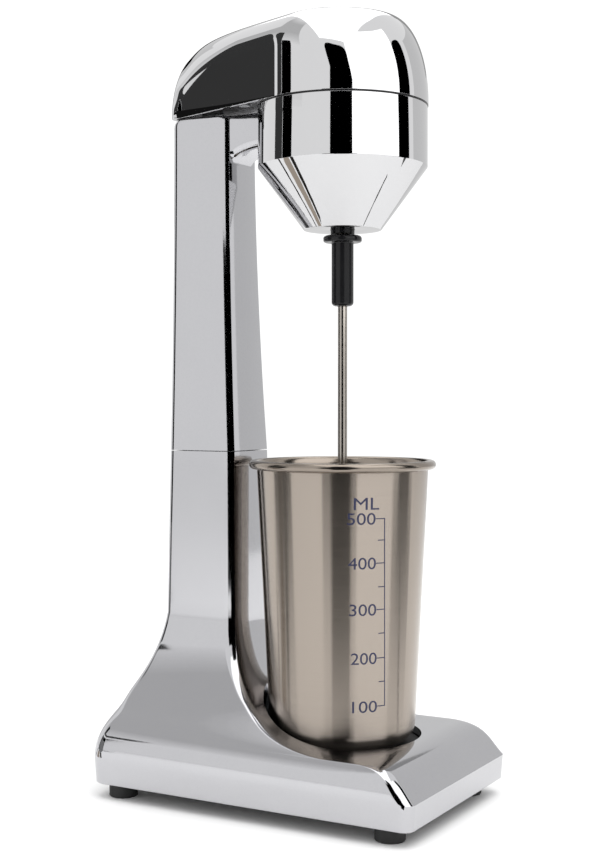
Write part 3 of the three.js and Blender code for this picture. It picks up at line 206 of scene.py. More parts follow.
# Sleeve and rod
SLEEVE_BORE = 2.57
SLEEVE_SHAFT_BORE = 3.3
SLEEVE_RADIUS = 5.3
SLEEVE_FLANGE_RADIUS = 9.3
SLEEVE_LOW = 239.9
SLEEVE_SHAFT_LOW = 261.2
SLEEVE_FLANGE_LOW = 270.5
SLEEVE_HIGH = 273.8
SLEEVE_ROUND_STEPS = 8
ROD_RADIUS = 2.27
ROD_LOW = 41
ROD_HIGH = 260.9
ROD_ROUND = 0.4

# Cup
CUP_BOTTOM = 30.3
CUP_FLOOR_RADIUS = 34.8
CUP_TOP_RADIUS = 41.4
CUP_WALL = 1
CUP_WALL_STEPS = 8
CUP_ROUND = 10
CUP_ROUND_STEPS = 14
CUP_INNER_STEPS = 12
RIM_HEIGHT = 163.8
RIM_BEAD = 2.1
RIM_RADIUS = 45
RIM_TURN = (-75, 165)
RIM_STEPS = 24
RIM_LAP = 0.4
RIM_PROUD = 0.03
RIM_INSIDE = 1.02
RIM_INSIDE_HIGH = 0.6
RIM_CREASE = 50

# The cup's scale: (words, height, bearing of the line in degrees), in order down the cup
SCALE_MARKS = [("500", 140.5, -33.4), ("400", 120.0, -32.5), ("300", 98.5, -31.5), ("200", 75.9, -30.3),
               ("100", 53.4, -29.1)]
SCALE_HALVES = [130.6, 109.0, 87.4, 64.8]
SCALE_RADIUS = 38
STROKE = 0.22
INK_LOW = -0.03
INK_HIGH = 0.06
LONG_TICK = 6.3
SHORT_TICK = 5.0
TICK_STEPS = 10
LINE_STEPS = 8
NUMBER_GAP = 6.6
NUMBER_WIDTH = 19.2
NUMBER_HALF = 2.7
UNIT_PLACE = (-54.8, -37.6, 144.7, 150.2)
TEXT_SIZE = 10
TEXT_THICK = 0.04
TEXT_LIFT = 0.02
TEXT_STEPS = 8
INK_CREASE = 60

# Feet
FOOT_PLACES = {"front_left": (-43.5, -47), "front_right": (43.5, -47),
               "rear_left": (-43.5, 98.8), "rear_right": (43.5, 98.8)}
FOOT_RADIUS = 7
FOOT_HOLE = 1.8
FOOT_RECESS = 3
FOOT_RECESS_TOP = 3.2

CREASE_ANGLE = 28


# Shape helpers
def lerp(a, b, share):
    return a + (b - a) * share


def ease(value, low, high):
    share = min(max((value - low) / (high - low), 0), 1)
    return share * share * (3 - 2 * share)


def stepped(value, knots, results):
    """The result at a value, on straight lines between the knots."""
    for a, b, low, high in zip(knots, knots[1:], results, results[1:]):
        if value <= b:
            return lerp(low, high, (value - a) / (b - a))
    return results[-1]


def arc(centre_x, centre_y, radius, start, end, steps):
    angles = [math.radians(lerp(start, end, i / steps)) for i in range(steps + 1)]
    return [(centre_x + radius * math.cos(a), centre_y + radius * math.sin(a)) for a in angles]


def bezier(points, steps):
    knots = [Vector((x, y, 0)) for x, y in points]
    return [(p.x, p.y) for p in interpolate_bezier(*knots, steps + 1)]


def rounded(profile, radii, steps=5):
    """A profile with its inner points rounded, each by the radius at the same place in the list."""
    result = [profile[0]]
    for before, point, after, radius in zip(profile, profile[1:], profile[2:], radii):
        if radius == 0:
            result.append(point)
            continue
        middle = Vector(point)
        back = (Vector(before) - middle).normalized()
        on = (Vector(after) - middle).normalized()
        half = back.angle(on) / 2
        centre = middle + (back + on).normalized() * (radius / math.sin(half))
        reach = radius / math.tan(half)
        first = middle + back * reach - centre
        last = middle + on * reach - centre
        for i in range(steps + 1):
            result.append(tuple(centre + first.slerp(last, i / steps) * radius))
    result.append(profile[-1])
    return result


def loft(rings, capped=True):
    """Skins rings of the same number of places by extruding a circle's edges from one to the next."""
    bm = bmesh.new()
    verts = bmesh.ops.create_circle(bm, segments=len(rings[0]), radius=1)["verts"]
    edges = list(bm.edges)
    for vert, place in zip(verts, rings[0]):
        vert.co = place
    if capped:
        bmesh.ops.edgeloop_fill(bm, edges=edges)
    for ring in rings[1:]:
        made = bmesh.ops.extrude_edge_only(bm, edges=edges)["geom"]
        fresh = {item for item in made if isinstance(item, bmesh.types.BMVert)}
        edges = [e for e in made if isinstance(e, bmesh.types.BMEdge) and fresh.issuperset(e.verts)]
        verts = [next(e.other_vert(v) for e in v.link_edges if e.other_vert(v) in fresh) for v in verts]
        for vert, place in zip(verts, ring):
            vert.co = place
    if capped:
        bmesh.ops.edgeloop_fill(bm, edges=edges)
    return bm


def turned(profile, sides, at=(0, 0)):
    """A profile of (radius, height) spun about an upright axis."""
    bm = bmesh.new()
    verts = [bm.verts.new((max(r, 0), 0, z)) for r, z in profile]
    edges = [bm.edges.new(pair) for pair in zip(verts, verts[1:])]
    bmesh.ops.spin(bm, geom=verts + edges, cent=(0, 0, 0), axis=(0, 0, 1),
                   angle=2 * math.pi, steps=sides, use_merge=True)
    bmesh.ops.translate(bm, verts=bm.verts, vec=(at[0], at[1], 0))
    return bm


def plug(radius, low, high, sides=CUT_SIDES, at=(0, 0)):
    return turned([(0, low), (radius, low), (radius, high), (0, high)], sides, at)


def box(low, high):
    bm = bmesh.new()
    bmesh.ops.create_cube(bm, size=1)
    bmesh.ops.scale(bm, verts=bm.verts, vec=[b - a for a, b in zip(low, high)])
    bmesh.ops.translate(bm, verts=bm.verts, vec=[(a + b) / 2 for a, b in zip(low, high)])
    return bm


def linked(name, data):
    obj = bpy.data.objects.new(name, data)
    bpy.context.scene.collection.objects.link(obj)
    return obj


def mesh_object(name, bm):
    bmesh.ops.remove_doubles(bm, verts=bm.verts, dist=SAME_PLACE)
    bmesh.ops.recalc_face_normals(bm, faces=bm.faces)
    mesh = bpy.data.meshes.new(name)
    bm.to_mesh(mesh)
    bm.free()
    return linked(name, mesh)


def evaluated_mesh(obj):
    graph = bpy.context.evaluated_depsgraph_get()
    return bpy.data.meshes.new_from_object(obj.evaluated_get(graph))


def carve(obj, cutters, operation="DIFFERENCE"):
    """Cuts the cutters from the object, or adds them to it, and removes them."""
    for cutter in cutters:
        tool = mesh_object("cutter", cutter) if isinstance(cutter, bmesh.types.BMesh) else cutter
        step = obj.modifiers.new("cut", "BOOLEAN")
        step.operation = operation
        step.solver = "EXACT"
        step.object = tool
        mesh = evaluated_mesh(obj)
        obj.modifiers.clear()
        obj.data = mesh
        bpy.data.objects.remove(tool)


def settle(obj, body, finish, stands_for=(), crease=CREASE_ANGLE):
    """Takes a mesh to metres in the shared frame and gives it its body and finish."""
    mesh = obj.data
    mesh.transform(TO_FRAME)
    mesh.shade_smooth()
    mesh.set_sharp_from_angle(angle=math.radians(crease))
    mesh.materials.clear()
    mesh.materials.append(finish)
    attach(obj, body)
    if stands_for:
        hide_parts(*stands_for)


# Effects that several finishes share
MIX_SHARE = 0
FLOAT_A = 2
FLOAT_B = 3
COLOR_A = 6
COLOR_B = 7
COLOR_RESULT = 2


def tone(red, green, blue):
    return (red, green, blue, 1)


def group(name, inputs):
    """An empty effect with the named inputs and the outputs that every finish takes."""
    tree = bpy.data.node_groups.new(name, "ShaderNodeTree")
    for label, kind, value in inputs:
        socket = tree.interface.new_socket(name=label, in_out="INPUT", socket_type=kind)
        if value is not None:
            socket.default_value = value
    for label, kind in (("Colour", "NodeSocketColor"), ("Roughness", "NodeSocketFloat"),
                        ("Height", "NodeSocketFloat")):
        tree.interface.new_socket(name=label, in_out="OUTPUT", socket_type=kind)
    return tree, tree.nodes.new("NodeGroupInput"), tree.nodes.new("NodeGroupOutput")


def add(tree, kind, settings=None, values=None):
    node = tree.nodes.new(kind)
    for key, value in (settings or {}).items():
        setattr(node, key, value)
    for key, value in (values or {}).items():
        node.inputs[key].default_value = value
    return node


def wire(tree, *links):
    """Joins sockets, each link being (node, its output, node, its input)."""
    for source, output, target, taken in links:
        tree.links.new(source.outputs[output], target.inputs[taken])


def make_mottle():
    """Soft uneven patches with fine grain in them, as on plating, castings and mouldings."""
    tree, given, result = group(
        "mottle",
        [("Vector", "NodeSocketVector", None), ("Patch Scale", "NodeSocketFloat", 40.0),
         ("Grain Scale", "NodeSocketFloat", 900.0), ("Grain Share", "NodeSocketFloat", 0.4),
         ("Dark", "NodeSocketColor", tone(0.5, 0.5, 0.5)),
         ("Light", "NodeSocketColor", tone(0.6, 0.6, 0.6)),
         ("Low", "NodeSocketFloat", 0.1), ("High", "NodeSocketFloat", 0.2)])
    patches = add(tree, "ShaderNodeTexNoise", values={"Detail": 3.0, "Roughness": 0.55})
    grain = add(tree, "ShaderNodeTexNoise", values={"Detail": 2.0, "Roughness": 0.6})
    both = add(tree, "ShaderNodeMix", {"data_type": "FLOAT"})
    tint = add(tree, "ShaderNodeMix", {"data_type": "RGBA"})
    rough = add(tree, "ShaderNodeMapRange", values={"From Min": 0.3, "From Max": 0.7})
    wire(tree,
         (given, "Vector", patches, "Vector"), (given, "Patch Scale", patches, "Scale"),
         (given, "Vector", grain, "Vector"), (given, "Grain Scale", grain, "Scale"),
         (given, "Grain Share", both, MIX_SHARE), (patches, "Fac", both, FLOAT_A),
         (grain, "Fac", both, FLOAT_B), (both, 0, tint, MIX_SHARE),
         (given, "Dark", tint, COLOR_A), (given, "Light", tint, COLOR_B),
         (both, 0, rough, "Value"), (given, "Low", rough, "To Min"), (given, "High", rough, "To Max"),
         (tint, COLOR_RESULT, result, "Colour"), (rough, "Result", result, "Roughness"),
         (grain, "Fac", result, "Height"))
    return tree


def make_brushing():
    """Fine lines drawn along one way, with a few deeper ones among them."""
    tree, given, result = group(
        "brushing",
        [("Vector", "NodeSocketVector", None), ("Fine Scale", "NodeSocketFloat", 1.0),
         ("Dark", "NodeSocketColor", tone(0.4, 0.4, 0.4)),
         ("Light", "NodeSocketColor", tone(0.6, 0.6, 0.6)),
         ("Low", "NodeSocketFloat", 0.2), ("High", "NodeSocketFloat", 0.4)])
    deep_scale_share = 0.3
    fine = add(tree, "ShaderNodeTexNoise", values={"Detail": 4.0, "Roughness": 0.7})
    deep = add(tree, "ShaderNodeTexNoise", values={"Detail": 2.0, "Roughness": 0.5})
    slower = add(tree, "ShaderNodeMath", {"operation": "MULTIPLY"}, {1: deep_scale_share})
    both = add(tree, "ShaderNodeMath", {"operation": "ADD"})
    half = add(tree, "ShaderNodeMath", {"operation": "MULTIPLY"}, {1: 0.5})
    tint = add(tree, "ShaderNodeMix", {"data_type": "RGBA"})
    rough = add(tree, "ShaderNodeMapRange", values={"From Min": 0.35, "From Max": 0.65})
    wire(tree,
         (given, "Vector", fine, "Vector"), (given, "Fine Scale", fine, "Scale"),
         (given, "Fine Scale", slower, 0), (given, "Vector", deep, "Vector"),
         (slower, 0, deep, "Scale"), (fine, "Fac", both, 0), (deep, "Fac", both, 1), (both, 0, half, 0),
         (half, 0, tint, MIX_SHARE), (given, "Dark", tint, COLOR_A), (given, "Light", tint, COLOR_B),
         (half, 0, rough, "Value"), (given, "Low", rough, "To Min"), (given, "High", rough, "To Max"),
         (tint, COLOR_RESULT, result, "Colour"), (rough, "Result", result, "Roughness"),
         (half, 0, result, "Height"))
    return tree


MOTTLE = make_mottle()
BRUSHING = make_brushing()
BUMP_DISTANCE = 0.0002


def finish_of(name, effect, values, stretch=(1, 1, 1), bump=0.0, plain=None):
    """A finish: an effect group on Object coordinates that feeds one Principled shader."""
    material = bpy.data.materials.new(name)
    material.use_nodes = True
    tree = material.node_tree
    shader = tree.nodes["Principled BSDF"]
    for key, value in (plain or {}).items():
        shader.inputs[key].default_value = value
    where = add(tree, "ShaderNodeTexCoord")
    mapping = add(tree, "ShaderNodeMapping", values={"Scale": stretch})
    pattern = add(tree, "ShaderNodeGroup", {"node_tree": effect}, values)
    wire(tree, (where, "Object", mapping, "Vector"), (mapping, "Vector", pattern, "Vector"),
         (pattern, "Colour", shader, "Base Color"), (pattern, "Roughness", shader, "Roughness"))
    if bump:
        relief = add(tree, "ShaderNodeBump", values={"Strength": bump, "Distance": BUMP_DISTANCE})
        wire(tree, (pattern, "Height", relief, "Height"), (relief, "Normal", shader, "Normal"))
    return material


METAL = {"Metallic": 1.0}
# Each finish: its effect, the effect's values, and what else finish_of() takes
LOOKS = {
    "mirror_chrome": (
        MOTTLE,
        {"Patch Scale": 30.0, "Grain Scale": 500.0, "Grain Share": 0.3,
         "Dark": tone(0.57, 0.57, 0.58), "Light": tone(0.61, 0.61, 0.615), "Low": 0.02, "High": 0.04},
        {"plain": METAL}),
    "satin_chrome": (
        MOTTLE,
        {"Patch Scale": 35.0, "Grain Scale": 700.0, "Grain Share": 0.5,
         "Dark": tone(0.48, 0.48, 0.5), "Light": tone(0.53, 0.53, 0.545), "Low": 0.05, "High": 0.09},
        {"bump": 0.02, "plain": METAL}),
    "cup_steel": (
        BRUSHING,
        {"Dark": tone(0.345, 0.3, 0.26), "Light": tone(0.405, 0.358, 0.312), "Low": 0.2, "High": 0.26},
        {"stretch": (9, 9, 4200), "bump": 0.03,
         "plain": {**METAL, "Anisotropic": 1.0, "Anisotropic Rotation": 0.25}}),
    "rim_steel": (
        MOTTLE,
        {"Patch Scale": 90.0, "Grain Scale": 2200.0, "Dark": tone(0.25, 0.215, 0.185),
         "Light": tone(0.31, 0.27, 0.23), "Low": 0.14, "High": 0.22},
        {"plain": METAL}),
    "polished_steel": (
        BRUSHING,
        {"Dark": tone(0.3, 0.275, 0.25), "Light": tone(0.44, 0.41, 0.37), "Low": 0.12, "High": 0.22},
        {"stretch": (40, 40, 1800), "bump": 0.03, "plain": METAL}),
    "zinc_steel": (
        MOTTLE,
        {"Patch Scale": 260.0, "Grain Scale": 1600.0, "Dark": tone(0.42, 0.44, 0.46),
         "Light": tone(0.62, 0.63, 0.62), "Low": 0.25, "High": 0.42},
        {"bump": 0.05, "plain": METAL}),
    "cast_alloy": (
        MOTTLE,
        {"Patch Scale": 180.0, "Grain Scale": 1400.0, "Grain Share": 0.6, "Dark": tone(0.42, 0.42, 0.43),
         "Light": tone(0.6, 0.6, 0.61), "Low": 0.4, "High": 0.6},
        {"bump": 0.25, "plain": METAL}),
    "laminated_steel": (
        BRUSHING,
        {"Dark": tone(0.12, 0.13, 0.15), "Light": tone(0.34, 0.35, 0.37), "Low": 0.4, "High": 0.6},
        {"stretch": (4, 4, 1700), "bump": 0.3, "plain": METAL}),
    "copper": (
        BRUSHING,
        {"Dark": tone(0.3, 0.1, 0.035), "Light": tone(0.72, 0.34, 0.16), "Low": 0.2, "High": 0.38},
        {"stretch": (6, 6, 1500), "bump": 0.4, "plain": {**METAL, "Coat Weight": 0.4}}),
    "bronze": (
        MOTTLE,
        {"Patch Scale": 220.0, "Grain Scale": 2200.0, "Dark": tone(0.34, 0.23, 0.1),
         "Light": tone(0.52, 0.38, 0.19), "Low": 0.35, "High": 0.55},
        {"bump": 0.2, "plain": METAL}),
    "black_gloss": (
        MOTTLE,
        {"Patch Scale": 60.0, "Grain Scale": 900.0, "Dark": tone(0.006, 0.006, 0.007),
         "Light": tone(0.012, 0.012, 0.013), "Low": 0.1, "High": 0.22},
        {"bump": 0.02, "plain": {"Specular IOR Level": 0.22}}),
    "black_plastic": (
        MOTTLE,
        {"Patch Scale": 90.0, "Grain Scale": 2600.0, "Grain Share": 0.6,
         "Dark": tone(0.014, 0.014, 0.015), "Light": tone(0.03, 0.03, 0.032), "Low": 0.42, "High": 0.6},
        {"bump": 0.2}),
    "black_rubber": (
        MOTTLE,
        {"Patch Scale": 120.0, "Grain Scale": 1800.0, "Dark": tone(0.008, 0.008, 0.008),
         "Light": tone(0.018, 0.018, 0.018), "Low": 0.55, "High": 0.8},
        {"bump": 0.15}),
    "carbon": (
        MOTTLE,
        {"Patch Scale": 300.0, "Grain Scale": 2500.0, "Dark": tone(0.02, 0.02, 0.022),
         "Light": tone(0.06, 0.06, 0.065), "Low": 0.45, "High": 0.7},
        {"bump": 0.15, "plain": {"Specular IOR Level": 0.7}}),
    "moulded": (
        MOTTLE,
        {"Patch Scale": 60.0, "Grain Scale": 1200.0, "Dark": tone(0.62, 0.6, 0.54),
         "Light": tone(0.74, 0.72, 0.66), "Low": 0.4, "High": 0.55},
        {"bump": 0.08}),
    "scale_ink": (
        MOTTLE,
        {"Patch Scale": 500.0, "Grain Scale": 4000.0, "Grain Share": 0.6,
         "Dark": tone(0.008, 0.01, 0.045), "Light": tone(0.018, 0.022, 0.075), "Low": 0.35, "High": 0.5},
        {"bump": 0.05}),
}
FINISHES = {name: finish_of(name, effect, values, **more) for name, (effect, values, more) in LOOKS.items()}
# Every solid that stays in view keeps its shape and takes the finish of its slot
for row in frame["record"]["subparts"]:
    for place in frame["nodes"][row["node"]].material_slots:
        place.material = FINISHES[row["material_slot"]]


# Base shell
def flare(shares, narrow, wide):
    """An outline of (place, height) from the column's foot out to the crease."""
    points = [(lerp(narrow, wide, across), lerp(CREASE, FLARE_TOP, up)) for across, up in shares]
    return bezier(points[:4], FLARE_STEPS) + bezier(points[3:], FLARE_STEPS)


def at_height(outline, z):
    for (x0, z0), (x1, z1) in zip(outline, outline[1:]):
        if z1 <= z <= z0 and z0 > z1:
            return lerp(x0, x1, (z0 - z) / (z0 - z1))
    return outline[0][0] if z > outline[0][1] else outline[-1][0]


def flat_turn():
    """A corner that turns fast at both ends and is nearly flat between, in shares of its size."""
    places = [(0, 0)]
    for i in range(TURN_STEPS):
        facing = math.radians(stepped((i + 0.5) / TURN_STEPS, FLAT_KNOTS, FLAT_FACINGS))
        x, y = places[-1]
        places.append((x - math.sin(facing), y + math.cos(facing)))
    wide, deep = places[-1]
    return [(x / wide, y / deep) for x, y in places]


def round_turn():
    """A quarter circle with as many places as the flat turn, in shares of its size."""
    angles = [math.radians(90 * i / TURN_STEPS) for i in range(TURN_STEPS + 1)]
    return [(math.sin(a), 1 - math.cos(a)) for a in angles]


side_flare = flare(SIDE_FLARE, FOOT_HALF, BASE_HALF)
rear_flare = flare(REAR_FLARE, REAR_AT_FOOT, REAR)
front_turns = list(zip(flat_turn(), round_turn()))


def section(half, front, rear, corner, rear_corner, spread, z, inset=0):
    """A ring with rounded corners: (x, y, z) places from front to rear and back."""
    half, front, rear = half - inset, front + inset, rear - inset
    corner = max(corner - inset, LEAST_CORNER)
    rear_corner = max(rear_corner - inset, LEAST_CORNER)
    turn = min(spread * ROUND_GAIN, 1)
    wide, deep = corner * lerp(FLAT_WIDE, 1, turn), corner * lerp(FLAT_DEEP, 1, turn)
    right = []
    for (x0, y0), (x1, y1) in front_turns:
        right.append((half - wide + wide * lerp(x0, x1, turn), front + deep * lerp(y0, y1, turn)))
    right += arc(half - rear_corner, rear - rear_corner, rear_corner, 0, 90, REAR_CORNER_STEPS)
    return [(x, y, z) for x, y in right] + [(-x, y, z) for x, y in reversed(right)]


def band_levels():
    """Levels of the base's band, from its rounded lower edge to the crease."""
    tucks = []
    for x, z in arc(0, 0, BAND_EDGE, -90, 0, BAND_EDGE_STEPS):
        lean = (BAND_EDGE + z) * BAND_TUCK / (CREASE - FOOT_TOP)
        tucks.append((BAND_TUCK + BAND_EDGE - x - lean, FOOT_TOP + BAND_EDGE + z))
    tucks += [(BAND_TUCK * (1 - share), lerp(FOOT_TOP, CREASE, share)) for share in BAND_SHARES]
    return [(BASE_HALF - tuck, FRONT + tuck, REAR - tuck, FRONT_CORNER - tuck, REAR_CORNER - tuck, 1, z)
            for tuck, z in tucks]


def base_levels():
    """(half width, front, rear, front corner, rear corner, spread, height), from lower edge to seam."""
    levels = band_levels()
    nose = [(FRONT, CREASE)]
    nose += [(lerp(DECK_FRONT, FRONT, across), lerp(CREASE, DECK, up))
             for across, up in reversed(NOSE_HANDLES)]
    nose += [(DECK_FRONT, DECK)]
    scoop = [(DECK_BACK, DECK)]
    scoop += [(lerp(DECK_BACK, FRONT_AT_FOOT, across), lerp(DECK, FLARE_TOP, up))
              for across, up in reversed(SCOOP_HANDLES)]
    scoop += [(FRONT_AT_FOOT, FLARE_TOP)]
    for front, z in bezier(nose, NOSE_STEPS)[1:] + bezier(scoop, SCOOP_STEPS):
        half = at_height(side_flare, z)
        spread = ((half - FOOT_HALF) / (BASE_HALF - FOOT_HALF)) ** 2
        levels.append((half, front, at_height(rear_flare, z), lerp(COLUMN_CORNER, FRONT_CORNER, spread),
                       lerp(COLUMN_CORNER, REAR_CORNER, spread), spread, z))
    for i in range(1, FOOT_LEVELS + 1):
        share = i / FOOT_LEVELS
        levels.append((lerp(FOOT_HALF, SEAM_HALF, share), lerp(FRONT_AT_FOOT, FRONT_AT_SEAM, share),
                       lerp(REAR_AT_FOOT, COLUMN_REAR, share), COLUMN_CORNER, COLUMN_CORNER, 0,
                       lerp(FLARE_TOP, SEAM, share)))
    return levels


levels = base_levels()
base = mesh_object("base_body", loft([section(*level) for level in levels]))
room_rings = [section(*level[:6], level[6] - WALL, WALL) for level in levels]
room_rings.insert(0, [(x, y, FOOT_TOP - CUT_OVER) for x, y, z in room_rings[0]])
room_rings.append([(x, y, SEAM + CUT_OVER) for x, y, z in room_rings[-1]])
hollow = mesh_object("base_hollow", loft(room_rings))
gland_hole = plug(GLAND_HOLE_RADIUS, -GLAND_CUT_DEPTH, CUT_OVER, FOOT_SIDES)
bmesh.ops.rotate(gland_hole, verts=gland_hole.verts, cent=(0, 0, 0),
                 matrix=Matrix.Rotation(-math.pi / 2, 3, "X"))
bmesh.ops.translate(gland_hole, verts=gland_hole.verts, vec=(0, REAR, GLAND_Z))
carve(hollow, [plug(POCKET_RADIUS + WALL, POCKET_FLOOR - WALL, POCKET_CUT_TOP)])
carve(base, [hollow, plug(POCKET_RADIUS, POCKET_FLOOR, POCKET_CUT_TOP), gland_hole])
settle(base, "stand", FINISHES["satin_chrome"], ["base_shell"])


# Column cover with its neck
def column_level(z, rear_tuck=0):
    share = (z - SEAM) / (COLUMN_TOP - SEAM)
    bend = max(1 - share, 0) ** COLUMN_BEND
    return (lerp(TOP_HALF, SEAM_HALF, bend), lerp(FRONT_AT_TOP, FRONT_AT_SEAM, bend),
            COLUMN_REAR - rear_tuck, COLUMN_CORNER, COLUMN_CORNER, 0, z)


def neck_ring(y):
    """A U of the neck at one depth; it widens and drops towards the column."""
    nearness = min(max((y - NECK_FRONT) / (FRONT_AT_TOP - NECK_FRONT), 0), 1)
    bottom = NECK_BOTTOM + NECK_RISE * math.sqrt(1 - nearness ** 2)
    spread = min(max((y - FRONT_AT_TOP + NECK_SPREAD) / NECK_SPREAD, 0), 1)
    half = lerp(NECK_HALF, TOP_HALF - NECK_TUCK, 1 - math.sqrt(1 - spread ** 2))
    low = arc(half - NECK_ROUND, bottom + NECK_ROUND, NECK_ROUND, 0, -90, NECK_ROUND_STEPS)
    right = [(half, COLUMN_TOP), (half, lerp(COLUMN_TOP, low[0][1], 0.5))] + low
    return [(x, y, z) for x, z in right] + [(-x, y, z) for x, z in reversed(right)]


column_levels = [column_level(lerp(SEAM + SEAM_GAP, COLUMN_TOP - REAR_TURN, i / COLUMN_LEVELS))
                 for i in range(COLUMN_LEVELS)]
column_levels += [column_level(COLUMN_TOP - REAR_TURN + z, REAR_TURN - y)
                  for y, z in arc(0, 0, REAR_TURN, 0, 90, REAR_TURN_STEPS)]
column = mesh_object("column_body", loft([section(*level) for level in column_levels]))
neck_angles = [math.radians(90 * i / NECK_STEPS) for i in range(NECK_STEPS + 1)]
neck_depths = [lerp(NECK_FRONT, FRONT_AT_TOP - NECK_STOP, math.sin(a)) for a in neck_angles]
neck = mesh_object("column_neck", loft([neck_ring(y) for y in neck_depths + [FRONT_AT_TOP + NECK_INSIDE]]))
carve(neck, [plug(HOUSING_RADIUS + HOUSING_ROOM_GAP, HOUSING_ROOM_LOW, HOUSING_ROOM_HIGH)])
carve(column, [neck], "UNION")
column_room = [section(*column_level(lerp(SEAM, COLUMN_TOP - WALL, i / ROOM_LEVELS)), WALL)
               for i in range(ROOM_LEVELS + 1)]
column_room[0] = [(x, y, SEAM - CUT_OVER) for x, y, z in column_room[0]]
screw_holes = [plug(SCREW_HOLE_RADIUS, TOP_CUT_LOW, TOP_CUT_HIGH, SCREW_SIDES, (x, SCREW_HOLE_Y))
               for x in (-SCREW_HOLE_X, SCREW_HOLE_X)]
carve(column, [loft(column_room), box(*LUG_SLOT), box(*SWITCH_WINDOW), *screw_holes])
settle(column, "stand", FINISHES["satin_chrome"], ["column_cover"])

# Head cover
crest_front = -(COVER_RADIUS - FRONT_ROUND[0])
crest_rear = COVER_REAR - REAR_ROUND[0]
crest_handles = [(lerp(crest_front, crest_rear, along), lerp(CREST_REAR, CREST, up))
                 for along, up in CREST_HANDLES]
crest_line = bezier([(crest_front, CREST), *crest_handles, (crest_rear, CREST_REAR)], CREST_STEPS)


def crest_at(y):
    """Height of the crest above the cover's edge; past its ends it runs on at its last slope."""
    last = len(crest_line) - 2
    i = next((k for k in range(last) if y <= crest_line[k + 1][0]), last)
    (y0, z0), (y1, z1) = crest_line[i], crest_line[i + 1]
    return lerp(z0, z1, (y - y0) / (y1 - y0))


def corner_centre(radius, rear, corner):
    y = rear - corner
    return Vector(((radius - corner - math.sin(TAPER) * y) / math.cos(TAPER), y))


def head_plan(wall):
    """Half of the head's plan: (wall place, top place, height of the top round, way out, along the arm)."""
    plan = []
    turn = math.pi / 2 + TAPER
    for i in range(FRONT_STEPS):
        angle = turn * (i + FIRST_STEP) / (FRONT_STEPS + FIRST_STEP)
        blend = ease(angle, SIDE_ROUND_FROM, turn)
        depth = lerp(FRONT_ROUND[0], SIDE_ROUND[0], blend)
        way = Vector((math.sin(angle), -math.cos(angle)))
        plan.append((way * (COVER_RADIUS - wall), way * (COVER_RADIUS - depth),
                     lerp(FRONT_ROUND[1], SIDE_ROUND[1], blend), way, 0))
    out = Vector((math.cos(TAPER), math.sin(TAPER)))
    wall_centre = corner_centre(COVER_RADIUS, COVER_REAR, COVER_CORNER)
    top_centre = corner_centre(COVER_RADIUS - SIDE_ROUND[0], crest_rear, COVER_TOP_CORNER)
    wall_from, top_from = out * (COVER_RADIUS - wall), out * (COVER_RADIUS - SIDE_ROUND[0])
    wall_to = wall_centre + out * (COVER_CORNER - wall)
    top_to = top_centre + out * COVER_TOP_CORNER
    length = (wall_to - wall_from).length
    for i in range(ARM_STEPS):
        along = i / ARM_STEPS
        drop = lerp(SIDE_ROUND[1], REAR_ROUND[1], ease(along, REAR_ROUND_FROM, 1))
        plan.append((wall_from.lerp(wall_to, along), top_from.lerp(top_to, along), drop, out,
                     along * length))
    for i in range(COVER_CORNER_STEPS + 1):
        angle = lerp(TAPER, math.pi / 2, i / COVER_CORNER_STEPS)
        way = Vector((math.cos(angle), math.sin(angle)))
        plan.append((wall_centre + way * (COVER_CORNER - wall), top_centre + way * COVER_TOP_CORNER,
                     REAR_ROUND[1], way, 0))
    return plan


def panel_share(along, height, top):
    """How far inside the arm's sunk side panel a place is, from 0 to 1."""
    near = min(along - PANEL_FRONT, PANEL_REAR - along, top - height)
    corner = Vector((max(PANEL_CORNER - (along - PANEL_FRONT), 0), max(PANEL_CORNER - (top - height), 0)))
    if corner.x > 0 and corner.y > 0:
        near = min(near, PANEL_CORNER - corner.length)
    return ease(near, 0, PANEL_SOFT)


def sink_arm(ring, plan):
    """Sinks the arm's side panel and its lower chamfer into one outer ring of the cover."""
    for i, (side, top, drop, way, along) in enumerate(plan):
        if along:
            x, y, z = ring[i]
            roof = COVER_EDGE + crest_at(side.y) - drop * PANEL_ROOF_SHARE
            sunk = PANEL_DEPTH * panel_share(along, z - COVER_EDGE, roof - COVER_EDGE)
            sunk += max(CHAMFER_RISE * along / CHAMFER_LENGTH - (z - COVER_EDGE), 0) * CHAMFER_SLOPE
            ring[i] = (x - way.x * sunk, y - way.y * sunk, z)


def head_rings(wall):
    """Rings of the cover from its lower edge over the crest to the line where both halves meet."""
    plan = head_plan(wall)
    edge = COVER_EDGE_ROUND if wall == 0 else 0
    rings = []
    for i in range(COVER_EDGE_STEPS + 1):
        angle = math.radians(90 / COVER_EDGE_STEPS * i)
        tuck, rise = 1 - math.sin(angle), 1 - math.cos(angle)
        rings.append([(x - x / COVER_RADIUS * edge * tuck, y - y / COVER_RADIUS * edge * tuck,
                       COVER_EDGE + edge * rise) for (x, y), *rest in plan])
    for row in range(1, WALL_ROWS):
        rings.append([(side.x, side.y, lerp(COVER_EDGE + edge, COVER_EDGE + crest_at(side.y) - drop,
                                            row / WALL_ROWS)) for side, top, drop, *rest in plan])
    for row in range(ROUND_ROWS + 1):
        angle = math.radians(90 * row / ROUND_ROWS)
        ring = []
        for side, top, drop, *rest in plan:
            x, y = top.lerp(side, math.cos(angle))
            ring.append((x, y, COVER_EDGE + crest_at(y) - drop + (drop - wall) * math.sin(angle)))
        rings.append(ring)
    if wall == 0:
        for ring in rings:
            sink_arm(ring, plan)
    crown = rings[-1]
    rings += [[(x * share, y, z) for x, y, z in crown] for share in CROWN_SHARES]
    return [ring + [(-x, y, z) for x, y, z in reversed(ring)] for ring in rings]


cover = mesh_object("head_cover", loft(head_rings(0)[::-1] + head_rings(COVER_WALL), capped=False))
settle(cover, "head", FINISHES["mirror_chrome"], ["top_cover"])

